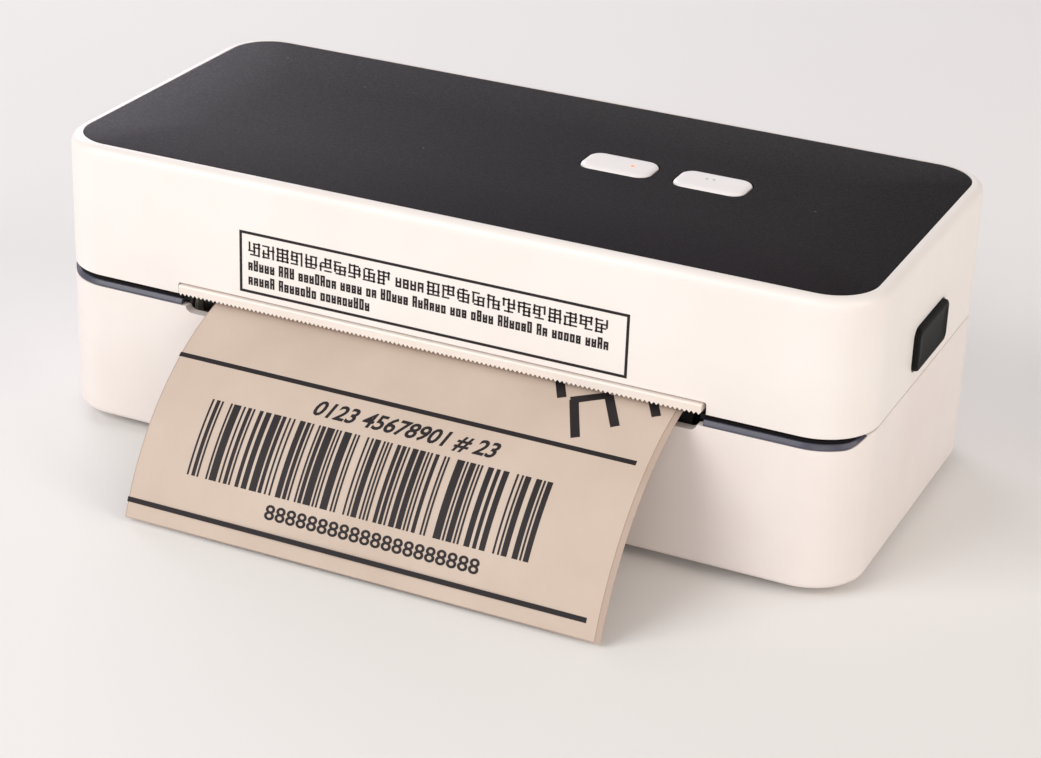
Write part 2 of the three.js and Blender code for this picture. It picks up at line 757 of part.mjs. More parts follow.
// Tear bar with pointed teeth along its lower edge
function tearBar() {
  const count = Math.floor((2 * tearHalf) / tearTooth);
  const start = (-count * tearTooth) / 2;
  const points = [
    [tearHalf, tearTop],
    [-tearHalf, tearTop],
  ];
  for (let k = 0; k < count; k++) {
    points.push([start + k * tearTooth, coverZ + 0.75]);
    points.push([start + (k + 0.5) * tearTooth, coverZ + 0.25]);
  }
  points.push([tearHalf, coverZ + 0.75]);
  const front = -halfDepth - tearProud;
  const blade = prismY(outline(points), front, front + 0.8);
  return blade.add(box(-tearHalf, tearHalf, front + 0.6, frontInner - 0.5, coverZ + 0.8, tearTop));
}

// Pressed frame under the roof: hinge lugs, head pivot lugs, spring seats and posts
function coverFrame() {
  const top = frameZ + frameThickness;
  const front = frontInner + 5;
  const back = hingeY + knuckleRadius;
  let frame = box(-frameHalf, frameHalf, front, back, frameZ, top);
  frame = frame.subtract(box(-48, 0, headBack + 4, hingeY - 9, frameZ - 1, top + 1));
  for (const [, side] of sides) {
    for (const offset of [-4.1, 4.1]) {
      const x = side * earX + offset;
      frame = frame.add(
        box(x - 1.4, x + 1.4, hingeY - knuckleRadius, back, hingeZ, frameZ + 0.5),
      );
      frame = frame.add(rodX(hingeY, hingeZ, knuckleRadius, x - 1.4, x + 1.4, 18));
    }
    const lug = side * (headLength / 2 + 4.5);
    frame = frame.add(box(lug - 1.4, lug + 1.4, pivotY - 3, pivotY + 3, pivotZ, frameZ + 0.5));
    frame = frame.add(rodX(pivotY, pivotZ, 3, lug - 1.4, lug + 1.4, 18));
    for (const y of [front + 5, hingeY - 9])
      frame = frame.add(rodZ(side * (earX - 10), y, 3, top - 0.3, roofZ - gap));
    const [low, high] = [frameZ - 1.2, frameZ + 0.3];
    frame = frame.add(rodZ(side * springX, nipY, springSeatRadius, low, high));
  }
  frame = frame.subtract(rodX(pivotY, pivotZ, pivotRadius + gap, -halfWidth, halfWidth, 20));
  return frame.subtract(rodX(hingeY, hingeZ, hingePinRadius + gap, -halfWidth, halfWidth, 20));
}

function headPivotPin() {
  const end = headLength / 2 + 6.2;
  return rodX(pivotY, pivotZ, pivotRadius, -end, end, 20);
}

// Print head: a heater bar under an aluminium bracket that floats on the pivot pin
function printHead() {
  const half = headLength / 2;
  const head = outline([
    [headFront, headZ + 1],
    [headFront + 2.2, headZ],
    [headBack, headZ],
    [headBack, headZ + headHeight],
    [headFront, headZ + headHeight],
  ]);
  return prismX(head, -half, half);
}

function headBracket() {
  const half = headLength / 2;
  const top = bracketZ + 1.5;
  let bracket = box(-half, half, headFront, pivotY + 1.5, bracketZ, top);
  for (const [, side] of sides) {
    const x = side * (half - 3);
    bracket = bracket.add(rodX(pivotY, pivotZ, 3, x - 1.5, x + 1.5, 18));
    bracket = bracket.add(box(x - 1.5, x + 1.5, pivotY - 3, pivotY + 1.5, bracketZ, pivotZ));
    bracket = bracket.add(rodZ(side * springX, nipY, springSeatRadius, top - 0.3, top + 1.2));
  }
  return bracket.subtract(rodX(pivotY, pivotZ, pivotRadius + gap, -half, half, 20));
}

// Coil spring as a round wire swept along a helix
class Helix extends THREE.Curve {
  constructor(radius, bottom, top, turns) {
    super();
    Object.assign(this, { radius, bottom, top, turns });
  }
  getPoint(t) {
    const angle = 2 * Math.PI * this.turns * t;
    const z = this.bottom + (this.top - this.bottom) * t;
    return new THREE.Vector3(
      this.radius * Math.cos(angle),
      this.radius * Math.sin(angle),
      z,
    );
  }
}

function circle(radius, sidesCount) {
  const shape = new THREE.Shape();
  for (let k = 0; k < sidesCount; k++) {
    const angle = (2 * Math.PI * k) / sidesCount;
    const [x, y] = [radius * Math.cos(angle), radius * Math.sin(angle)];
    if (k) shape.lineTo(x, y);
    else shape.moveTo(x, y);
  }
  return shape;
}

function sweep(path, section, steps) {
  const settings = { steps, bevelEnabled: false, extrudePath: path };
  return solid(new THREE.ExtrudeGeometry(section, settings));
}

function headSpring(side) {
  const wire = 0.45;
  const [low, high] = [bracketZ + 1.5 + gap + wire, frameZ - gap - wire];
  const coil = sweep(new Helix(3.2, low, high, 4), circle(wire, 5), 36);
  return coil.translate([side * springX, nipY, 0]);
}

function headRibbon() {
  const [z, y] = [headZ + 2.1, pivotY + 4.5];
  const low = outline([
    [headBack + gap, z - 0.2],
    [y + 0.2, z - 0.2],
    [y + 0.2, frameZ - gap],
    [y - 0.2, frameZ - gap],
    [y - 0.2, z + 0.2],
    [headBack + gap, z + 0.2],
  ]);
  return prismX(low, -18, 18);
}

function buttonBoard() {
  const x0 = buttonX - buttonWidth / 2 - 2.95;
  const x1 = buttonX + buttonPitch + buttonWidth / 2 + 2.95;
  let board = box(x0, x1, buttonY - 9, buttonY + 9, boardZ, boardZ + boardThickness);
  for (const x of [buttonX, buttonX + buttonPitch])
    board = board.add(
      box(x - 3, x + 3, buttonY - 3, buttonY + 3, boardZ + 1, boardZ + boardThickness + 1),
    );
  return board;
}

function button(x) {
  const cap = padZ(x, buttonY, buttonWidth, buttonDepth, 2.8, roofZ - 1, topZ + buttonProud);
  const flangeTop = roofZ - gap;
  const flange = padZ(x, buttonY, buttonWidth + 3, buttonDepth + 3, 3, flangeTop - 1.4, flangeTop);
  const stemZ = boardZ + boardThickness + 1 + buttonTravel + gap;
  return cap.add(flange).add(rodZ(x, buttonY, 2, stemZ, flangeTop - 1, 16));
}

// Side latch: a tab in the window, a flange behind the wall and a hook into the base
function sideLatch(side) {
  const outer = halfWidth + latchProud;
  const inner = halfWidth - wall - gap;
  const tab = roundedRectangle(latchWidth, latchHeight, 2.2);
  let latch = prismX(tab, inner - 0.5, outer, 4).translate([0, latchY, latchZ]);
  const flange = roundedRectangle(latchWidth + 3.4, latchHeight + 1.6, 2);
  latch = latch.add(prismX(flange, inner - 1.6, inner, 3).translate([0, latchY, latchZ]));
  const hookX = catchX - catchHalf - gap;
  const arm = box(hookX - 1.6, hookX, latchY - 6, latchY + 6, rimZ - 8, latchZ);
  latch = latch.add(arm).add(
    box(hookX - 1.6, inner - 1, latchY - 6, latchY + 6, coverZ + 2, latchZ),
  );
  return side > 0 ? latch : latch.mirror([1, 0, 0]);
}

function motorCable() {
  const start = plateX - gap - motorLength - gap;
  const route = new THREE.CatmullRomCurve3([
    new THREE.Vector3(start - 1, pinionY + 3, pinionZ),
    new THREE.Vector3(start - 4, pinionY + 4, pinionZ - 0.5),
    new THREE.Vector3(start - 9, pinionY + 11, pinionZ - 3),
    new THREE.Vector3(start - 12, rackY - 8, floorTop + 12),
  ]);
  return sweep(route, circle(1.1, 8), 14);
}

const printer = new THREE.Group();
printer.name = "label_printer";
const body = new THREE.Group();
// The printed label reaches furthest forward, and the origin is the middle of the whole plan
const labelFront = -(labelCentreY - (labelRadius + labelThickness / 2) * Math.sin(rad(labelEnd)));
body.position.y = (labelFront - halfDepth) / 2;
printer.add(body);

body.add(
  piece("base_shell", baseShell(), white, 0.5),
  piece("media_deck", mediaDeck(), black, 0.7),
  piece("media_sensor", mediaSensor(), 0x2b2b33, 0.3),
  piece("motor", motor(), 0x8f9296, 0.35, 1),
  piece("motor_shaft", motorShaft(), steel, 0.3, 1),
  piece("motor_cable", motorCable(), 0x3a3f86, 0.5),
  piece("idler_post", idlerPost(), steel, 0.3, 1),
  piece("idler_gear", idlerGear(), nylon),
  piece("motor_pinion", motorPinion(), 0xb48b3c, 0.4, 1),
  piece("platen_gear", platenGear(), nylon),
  piece("platen_roller", platenRoller(), darkRubber, 0.85),
  piece("platen_shaft", platenShaft(), steel, 0.25, 1),
  piece("main_board", mainBoard(), 0x1f5a36, 0.5),
  piece("dc_jack", dcJack(), black, 0.5),
  piece("usb_port", usbPort(), steel, 0.35, 1),
  piece("switch_housing", switchHousing(), black, 0.5),
  piece("power_rocker", powerRocker(), 0x141416, 0.4),
  piece("rocker_pin", rockerPin(), steel, 0.3, 1),
  piece("guide_pinion", guidePinion(), nylon),
  piece("printed_label", printedLabel(), 0xf3ead9, 0.7),
  piece("cover_shell", coverShell(), white, 0.5),
  piece("top_panel", topPanel(), black, 0.6),
  piece("tear_bar", tearBar(), 0xe3d8c8, 0.4),
  piece("cover_frame", coverFrame(), 0x34343a, 0.6),
  piece("head_pivot_pin", headPivotPin(), steel, 0.3, 1),
  piece("print_head", printHead(), 0x3c3a38, 0.3),
  piece("head_bracket", headBracket(), 0xb7babd, 0.4, 1),
  piece("head_ribbon", headRibbon(), 0xd9d2c0, 0.5),
  piece("button_board", buttonBoard(), 0x1f5a36, 0.5),
  piece("button_power", button(buttonX), white, 0.45),
  piece("button_feed", button(buttonX + buttonPitch), white, 0.45),
);
for (const [name, side] of sides) {
  body.add(
    piece("trim_strip_" + name, trimStrip(side), 0x2c2f3a, 0.3),
    piece("platen_bracket_" + name, platenBracket(side), steel, 0.4, 1),
    piece("platen_bush_" + name, platenBush(side), nylon),
    piece("hinge_bracket_" + name, hingeBracket(side), 0x34343a, 0.6),
    piece("hinge_pin_" + name, hingePin(side), steel, 0.3, 1),
    piece("media_guide_" + name, mediaGuide(side), 0x2b2b2f, 0.6),
    piece("side_latch_" + name, sideLatch(side), black, 0.55),
    piece("head_spring_" + name, headSpring(side), steel, 0.3, 1),
    piece("foot_front_" + name, foot(side * footX, -footY), darkRubber, 0.9),
    piece("foot_rear_" + name, foot(side * footX, footY), darkRubber, 0.9),
  );
}
screwPosts.forEach(([x, y], k) => {
  body.add(piece("base_screw_" + (k + 1), baseScrew(x, y), 0x77797c, 0.35, 1));
});

export default printer;
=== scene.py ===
import math
import bpy
import bmesh
import numpy as np
from mathutils import Matrix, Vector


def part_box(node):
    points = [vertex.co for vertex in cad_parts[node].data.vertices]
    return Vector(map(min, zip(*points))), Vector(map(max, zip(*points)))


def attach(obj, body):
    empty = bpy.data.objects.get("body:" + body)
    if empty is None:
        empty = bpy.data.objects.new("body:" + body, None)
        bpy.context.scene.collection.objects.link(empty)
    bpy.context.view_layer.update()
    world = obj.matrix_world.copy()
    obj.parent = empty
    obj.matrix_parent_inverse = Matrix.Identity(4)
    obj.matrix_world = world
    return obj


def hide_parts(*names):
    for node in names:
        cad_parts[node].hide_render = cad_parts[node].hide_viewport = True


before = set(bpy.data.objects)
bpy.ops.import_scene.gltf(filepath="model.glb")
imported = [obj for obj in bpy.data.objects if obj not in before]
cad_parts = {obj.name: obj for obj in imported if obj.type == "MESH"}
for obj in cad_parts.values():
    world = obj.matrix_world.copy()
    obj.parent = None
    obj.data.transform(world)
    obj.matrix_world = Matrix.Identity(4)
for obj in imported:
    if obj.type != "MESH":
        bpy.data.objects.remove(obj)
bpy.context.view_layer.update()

mm = 0.001


def boxOf(node):  # a CAD node's lowest and highest corner, in millimetres
    low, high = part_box(node)
    return np.array(low) / mm, np.array(high) / mm


baseLow, baseHigh = boxOf("base_shell")
coverLow, coverHigh = boxOf("cover_shell")
panelLow = boxOf("top_panel")[0]
tearLow, tearHigh = boxOf("tear_bar")
deckHigh = boxOf("media_deck")[1]

# the body's own middle is the zero of x and y while a piece is drawn
middle = np.array([0.0, (baseLow[1] + baseHigh[1]) / 2, 0.0])
body = {
    "width": baseHigh[0] - baseLow[0],
    "depth": baseHigh[1] - baseLow[1],
    "corner": 12.3,
    "wall": 2.2,
    "rim": baseHigh[2],
    "seam": coverLow[2],
    "top": coverHigh[2],
    "bottom": baseLow[2],
    "grooveDrop": 2.2,
}
halfW, halfD = body["width"] / 2, body["depth"] / 2
frontInner = -halfD + body["wall"]
past = 1.0  # how far a cutting shape stands out past what it cuts
axisOrder = {"z": (0, 1, 2), "x": (2, 0, 1), "y": (0, 2, 1)}


def addObject(name, data):
    made = bpy.data.objects.new(name, data)
    bpy.context.scene.collection.objects.link(made)
    return made


def makePiece(name, verts, faces, smooth=32):
    # closed islands get outward normals; edges sharper than smooth degrees stay crisp
    mesh = bpy.data.meshes.new(name)
    mesh.from_pydata(((np.asarray(verts) + middle) * mm).tolist(), [], faces)
    mesh.update()
    piece = addObject(name, mesh)
    tidyNormals(piece, smooth)
    return piece


def tidyNormals(piece, smooth=32):
    bm = bmesh.new()
    bm.from_mesh(piece.data)
    bmesh.ops.remove_doubles(bm, verts=bm.verts, dist=1e-7)
    bmesh.ops.recalc_face_normals(bm, faces=bm.faces)
    bm.to_mesh(piece.data)
    bm.free()
    piece.data.shade_smooth()
    piece.data.set_sharp_from_angle(angle=math.radians(smooth))


def circle(centre, radius, sides):
    angle = np.linspace(0, 2 * math.pi, sides, endpoint=False)
    return np.stack([centre[0] + radius * np.cos(angle), centre[1] + radius * np.sin(angle)], 1)


def ringAt(flat, height):  # a flat loop of points, lifted to its height
    return np.column_stack([flat, np.full(len(flat), height)])


def planLoop(width, depth, radius, arc=14, side=10):
    # rounded rectangle: four quarter circles joined by straight sides cut into equal steps
    radius = max(radius, 0.05)
    turn = np.linspace(0, math.pi / 2, arc)
    centres = [(1, 1), (-1, 1), (-1, -1), (1, -1)]
    corners = []
    for k, (sx, sy) in enumerate(centres):
        angle = turn + k * math.pi / 2
        x = sx * (width / 2 - radius) + radius * np.cos(angle)
        y = sy * (depth / 2 - radius) + radius * np.sin(angle)
        corners.append(np.stack([x, y], 1))
    parts = []
    for k in range(4):
        parts.append(corners[k])
        steps = np.linspace(0, 1, side + 1)[1:-1, None]
        parts.append(corners[k][-1] + (corners[(k + 1) % 4][0] - corners[k][-1]) * steps)
    return np.concatenate(parts)


def loftRings(rings):
    # quads between one ring of points and the next, with one flat face on each end ring
    rings = np.asarray(rings)
    count, around = rings.shape[:2]
    index = np.arange(count * around).reshape(count, around)
    a, b = index[:-1], index[1:]
    quads = np.stack([a, np.roll(a, -1, 1), np.roll(b, -1, 1), b], -1).reshape(-1, 4).tolist()
    quads.append(index[0][::-1].tolist())
    quads.append(index[-1].tolist())
    return rings.reshape(-1, 3), quads


def rounded(start, corner, end, radius, steps=6):
    # eases the corner between two straight lines: p = (1-t)^2 a + 2t(1-t) corner + t^2 b
    start, corner, end = (np.array(p, float) for p in (start, corner, end))
    a = corner + (start - corner) / np.linalg.norm(start - corner) * radius
    b = corner + (end - corner) / np.linalg.norm(end - corner) * radius
    t = np.linspace(0, 1, steps)[:, None]
    return ((1 - t) ** 2 * a + 2 * t * (1 - t) * corner + t**2 * b).tolist()


def easeProfile(points, radii, steps=6):
    # an open outline whose inner corners are eased by the radius given for each
    made = [points[0]]
    for k in range(1, len(points) - 1):
        if radii[k]:
            made += rounded(points[k - 1], points[k], points[k + 1], radii[k], steps)
        else:
            made.append(points[k])
    return made + [points[-1]]


def bodyRings(profile, arc=16, side=12):
    # each profile point is (inset from the outer faces, height)
    width, depth, corner = (body[key] for key in ("width", "depth", "corner"))
    rings = []
    for inset, height in profile:
        flat = planLoop(width - 2 * inset, depth - 2 * inset, corner - inset, arc, side)
        rings.append(ringAt(flat, height))
    return np.array(rings)


def slab(size, radius, profile, centre, axis="z", arc=8, side=2):
    # a rounded-rectangle block: profile points are (inset, distance along the axis)
    rings = []
    for inset, along in profile:
        flat = planLoop(size[0] - 2 * inset, size[1] - 2 * inset, radius - inset, arc, side)
        rings.append(ringAt(flat, along))
    verts, faces = loftRings(rings)
    return verts[:, axisOrder[axis]] + np.array(centre), faces


def boxMesh(low, high):  # a plain block between two opposite corners
    low, high = np.array(low, float), np.array(high, float)
    pick = np.array([[x, y, z] for z in (0, 1) for y in (0, 1) for x in (0, 1)])
    faces = [[0, 2, 3, 1], [4, 5, 7, 6], [0, 1, 5, 4], [2, 6, 7, 3], [0, 4, 6, 2], [1, 3, 7, 5]]
    return low + (high - low) * pick, faces


def rodMesh(centre, radius, low, high, axis="z", sides=32):
    flat = circle(centre, radius, sides)
    verts, faces = loftRings([ringAt(flat, low), ringAt(flat, high)])
    return verts[:, axisOrder[axis]], faces


def booleanWith(piece, shapes, operation):
    # joins or cuts the piece with each closed shape in turn, and applies the result
    for verts, faces in shapes:
        tool = makePiece("tool", verts, faces)
        change = piece.modifiers.new("shape", "BOOLEAN")
        change.operation = operation
        change.solver = "EXACT"
        change.object = tool
        graph = bpy.context.evaluated_depsgraph_get()
        made = bpy.data.meshes.new_from_object(piece.evaluated_get(graph))
        piece.modifiers.clear()
        piece.data = made
        bpy.data.objects.remove(tool)
    tidyNormals(piece)


def colour(hexText):  # sRGB hex to linear
    parts = [int(hexText[k : k + 2], 16) / 255 for k in (0, 2, 4)]
    return [*[c / 12.92 if c <= 0.04045 else ((c + 0.055) / 1.055) ** 2.4 for c in parts], 1.0]


def addNode(tree, kind, settings=None, links=None):
    made = tree.nodes.new(kind)
    for key, value in (settings or {}).items():
        if key in made.inputs:
            made.inputs[key].default_value = value
        else:
            setattr(made, key, value)
    for key, source in (links or {}).items():
        tree.links.new(source, made.inputs[key])
    return made


def startMaterial(name, settings):
    material = bpy.data.materials.new(name)
    material.use_nodes = True
    tree = material.node_tree
    shader = tree.nodes["Principled BSDF"]
    for key, value in settings.items():
        shader.inputs[key].default_value = value
    place = addNode(tree, "ShaderNodeTexCoord")
    return material, tree, shader, place.outputs["Object"]


def mottle(tree, place, perMetre, detail=3.0, rough=0.55):
    links = {"Vector": place}
    settings = {"Scale": perMetre, "Detail": detail, "Roughness": rough}
    return addNode(tree, "ShaderNodeTexNoise", settings, links).outputs["Fac"]


def spread(tree, fac, low, high, fromLow=0.3, fromHigh=0.7):
    settings = {"From Min": fromLow, "From Max": fromHigh, "To Min": low, "To Max": high}
    return addNode(tree, "ShaderNodeMapRange", settings, {"Value": fac}).outputs["Result"]


def tint(tree, fac, first, second):
    ramp = addNode(tree, "ShaderNodeValToRGB", None, {"Fac": fac})
    ramp.color_ramp.elements[0].position = 0.3
    ramp.color_ramp.elements[1].position = 0.7
    ramp.color_ramp.elements[0].color = colour(first)
    ramp.color_ramp.elements[1].color = colour(second)
    return ramp.outputs["Color"]


def bump(tree, shader, height, distance):
    # distance is the relief's depth in millimetres
    settings = {"Distance": distance * mm, "Strength": 1.0}
    made = addNode(tree, "ShaderNodeBump", settings, {"Height": height})
    tree.links.new(made.outputs["Normal"], shader.inputs["Normal"])


def mouldedPlastic(name, first, second, rough, grain, relief, ior=1.53, spec=0.5):
    # ABS from a spark-eroded tool: even colour, a fine satin grain, slow changes of gloss
    settings = {"IOR": ior, "Specular IOR Level": spec}
    material, tree, shader, place = startMaterial(name, settings)
    slow = mottle(tree, place, 28)
    fine = mottle(tree, place, 1 / (grain * mm), 2.0)
    tree.links.new(tint(tree, slow, first, second), shader.inputs["Base Color"])
    tree.links.new(spread(tree, slow, rough - 0.04, rough + 0.05), shader.inputs["Roughness"])
    bump(tree, shader, fine, relief)
    return material


def mattePanel():
    # textured polycarbonate sheet: dark violet-brown, dry sheen, pale dust specks 0.3 mm across
    settings = {"IOR": 1.5, "Specular IOR Level": 0.12}
    material, tree, shader, place = startMaterial("mattePolycarbonate", settings)
    slow = mottle(tree, place, 14, 4.0)
    grain = mottle(tree, place, 1 / (0.45 * mm), 2.0)
    base = tint(tree, slow, "120c11", "191217")
    cells = {"Scale": 1 / (11 * mm), "Randomness": 1.0}
    speck = addNode(tree, "ShaderNodeTexVoronoi", cells, {"Vector": place}).outputs["Distance"]
    dust = spread(tree, speck, 0.55, 0.0, 0.015, 0.03)
    mix = addNode(tree, "ShaderNodeMix", {"data_type": "RGBA"})
    tree.links.new(dust, mix.inputs[0])
    tree.links.new(base, mix.inputs[6])
    mix.inputs[7].default_value = colour("6d646e")
    tree.links.new(mix.outputs[2], shader.inputs["Base Color"])
    tree.links.new(spread(tree, grain, 0.5, 0.62), shader.inputs["Roughness"])
    bump(tree, shader, grain, 0.02)
    return material


def thermalPaper(name, first, second):
    # coated thermal stock: warm cream, faint fibre clouds, a slight calendered sheen
    settings = {"IOR": 1.5, "Specular IOR Level": 0.35, "Sheen Weight": 0.05}
    material, tree, shader, place = startMaterial(name, settings)
    cloud = mottle(tree, place, 60, 5.0)
    fibre = mottle(tree, place, 1 / (0.5 * mm), 3.0, 0.7)
    tree.links.new(tint(tree, cloud, first, second), shader.inputs["Base Color"])
    tree.links.new(spread(tree, fibre, 0.5, 0.62), shader.inputs["Roughness"])
    bump(tree, shader, fibre, 0.012)
    return material


def heatPrint():
    # thermal image in the paper's coating: near black, edges broken by the head's 0.125 mm dots
    material, tree, shader, place = startMaterial("heatPrint", {"Specular IOR Level": 0.3})
    dots = mottle(tree, place, 1 / (0.3 * mm), 2.0)
    tree.links.new(tint(tree, dots, "1c171a", "2a2225"), shader.inputs["Base Color"])
    tree.links.new(spread(tree, dots, 0.5, 0.65), shader.inputs["Roughness"])
    return material


def metal(name, first, second, rough, lines=None):
    # rolled or machined metal: streaks run along x where lines gives their spacing in mm
    material, tree, shader, place = startMaterial(name, {"Metallic": 1.0})
    source = place
    if lines:
        stretch = addNode(tree, "ShaderNodeMapping", None, {"Vector": place})
        stretch.inputs["Scale"].default_value = (0.06, 1.0, 1.0)
        source = stretch.outputs["Vector"]
    streak = mottle(tree, source, 1 / ((lines or 0.8) * mm), 3.0)
    tree.links.new(tint(tree, streak, first, second), shader.inputs["Base Color"])
    tree.links.new(spread(tree, streak, rough - 0.07, rough + 0.08), shader.inputs["Roughness"])
    bump(tree, shader, streak, 0.01)
    return material


def vulcanisedRubber():
    # ground nitrile rubber: soft black, dusty, no clear highlight
    settings = {"IOR": 1.52, "Specular IOR Level": 0.35}
    material, tree, shader, place = startMaterial("vulcanisedRubber", settings)
    slow = mottle(tree, place, 90, 4.0)
    fine = mottle(tree, place, 1 / (0.35 * mm), 3.0)
    tree.links.new(tint(tree, slow, "1d1d1f", "2b2b2d"), shader.inputs["Base Color"])
    tree.links.new(spread(tree, fine, 0.72, 0.88), shader.inputs["Roughness"])
    bump(tree, shader, fine, 0.03)
    return material


def circuitBoard():
    # glass-epoxy board: green solder mask over faint copper tracks 1.2 mm apart
    settings = {"IOR": 1.55, "Coat Weight": 0.3, "Coat Roughness": 0.2}
    material, tree, shader, place = startMaterial("solderMask", settings)
    settings = {"Scale": 1 / (4 * mm), "Randomness": 0.35, "distance": "MANHATTAN"}
    track = addNode(tree, "ShaderNodeTexVoronoi", settings, {"Vector": place})
    fac = spread(tree, track.outputs["Distance"], 0.25, 0.75, 0.3, 0.45)
    tree.links.new(tint(tree, fac, "1d6b3c", "17512f"), shader.inputs["Base Color"])
    tree.links.new(spread(tree, fac, 0.3, 0.42), shader.inputs["Roughness"])
    bump(tree, shader, fac, 0.03)
    return material


def lampLens():
    # small lamp behind a tinted lens
    settings = {"Emission Strength": 1.2, "Emission Color": colour("ff7a2a"), "IOR": 1.49}
    material, tree, shader, place = startMaterial("tintedLampLens", settings)
    glow = mottle(tree, place, 1500)
    tree.links.new(tint(tree, glow, "e8662a", "ff8d3f"), shader.inputs["Base Color"])
    return material


print("materials")
finish = {
    "coverWhite": mouldedPlastic("satinAbsCover", "f7f2ef", "f2ebe7", 0.4, 0.5, 0.012),
    "baseWhite": mouldedPlastic("satinAbsBase", "f4edea", "eee5e1", 0.42, 0.5, 0.012),
    "buttonWhite": mouldedPlastic("satinAbsButton", "fbf8f8", "f3eff0", 0.32, 0.4, 0.006),
    "latchBlack": mouldedPlastic(
        "mouldedNylonLatch", "0a080a", "110d0f", 0.62, 0.5, 0.02, 1.53, 0.16
    ),
    "frameBlack": mouldedPlastic("mouldedNylonFrame", "2b2b2f", "35353a", 0.55, 0.7, 0.03),
    "trimBlue": mouldedPlastic("satinAcrylicTrim", "424352", "515261", 0.3, 0.8, 0.004, 1.49),
    "gearNylon": mouldedPlastic("mouldedAcetal", "e9e5da", "dedacd", 0.4, 0.6, 0.01, 1.48),
    "tearClear": mouldedPlastic("milkyPolycarbonate", "f5ece6", "eee2d9", 0.34, 0.5, 0.006, 1.58),
    "ribbon": mouldedPlastic("flexibleFlatCable", "dcd6c6", "cfc8b6", 0.4, 1.2, 0.01),
    "cable": mouldedPlastic("insulatedWire", "34397f", "3d428a", 0.4, 0.6, 0.01),
    "ceramic": mouldedPlastic("glazedHeadCeramic", "3b2f2a", "4a3b33", 0.2, 0.7, 0.004, 1.7),
    "panel": mattePanel(),
    "paper": thermalPaper("thermalPaper", "d1c0b3", "c9b7a9"),
    "liner": thermalPaper("glassineLiner", "bfab9e", "b4a093"),
    "ink": heatPrint(),
    "steel": metal("zincPlatedSteel", "b3b5b8", "94979b", 0.32, 0.5),
    "aluminium": metal("pressedAluminium", "c5c7ca", "b0b3b6", 0.36, 0.4),
    "brass": metal("machinedBrass", "c9a14f", "b48b3c", 0.28, 0.4),
    "rubber": vulcanisedRubber(),
    "board": circuitBoard(),
    "led": lampLens(),
}


def dress(piece, materialKey, slotName, bodyName, *nodes):
    piece.data.materials.clear()
    piece.data.materials.append(finish[materialKey])
    if nodes:
        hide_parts(*nodes)
    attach(piece, bodyName)


cover = {"fillet": 2.6, "roof": 2.0, "edge": 0.3, "roofFillet": 0.8, "gap": 0.3}
panel = {"inset": 2.47, "sunk": 1.2, "gap": 0.22, "holeGap": 0.25, "holeRadius": 3.1}
buttons = {
    "x": 20.5, "pitch": 21.25, "y": 4.2, "width": 16.1, "depth": 9.6, "radius": 3.0,
    "holeRadius": 3.2, "flange": 1.4, "flangeRise": 3.1, "stem": 2,
}
latch = {
    "y": -0.7, "z": 8.1, "width": 20.6, "height": 9.5, "radius": 2.0, "reach": 4,
    "flange": 1.7, "thick": 1.6, "gap": 0.3, "armHalf": 6, "armDrop": 8, "ribRise": 2,
}
hinge = {"radius": 5.2, "x": 76, "half": 2.4, "rise": 3.5, "front": 4}
exitSlot = {"half": 59.0, "drop": 3.5, "radius": 1.6, "tearHalf": 60.4, "tearRadius": 0.6}
rearSlot = {"half": 60, "rise": 2.4, "depth": 6}
tooth = {"pitch": 1.0, "depth": 0.55, "slope": 0.28, "bevel": 0.22, "tip": 0.1, "seat": 0.5}
buttonPlaces = [buttons["x"], buttons["x"] + buttons["pitch"]]


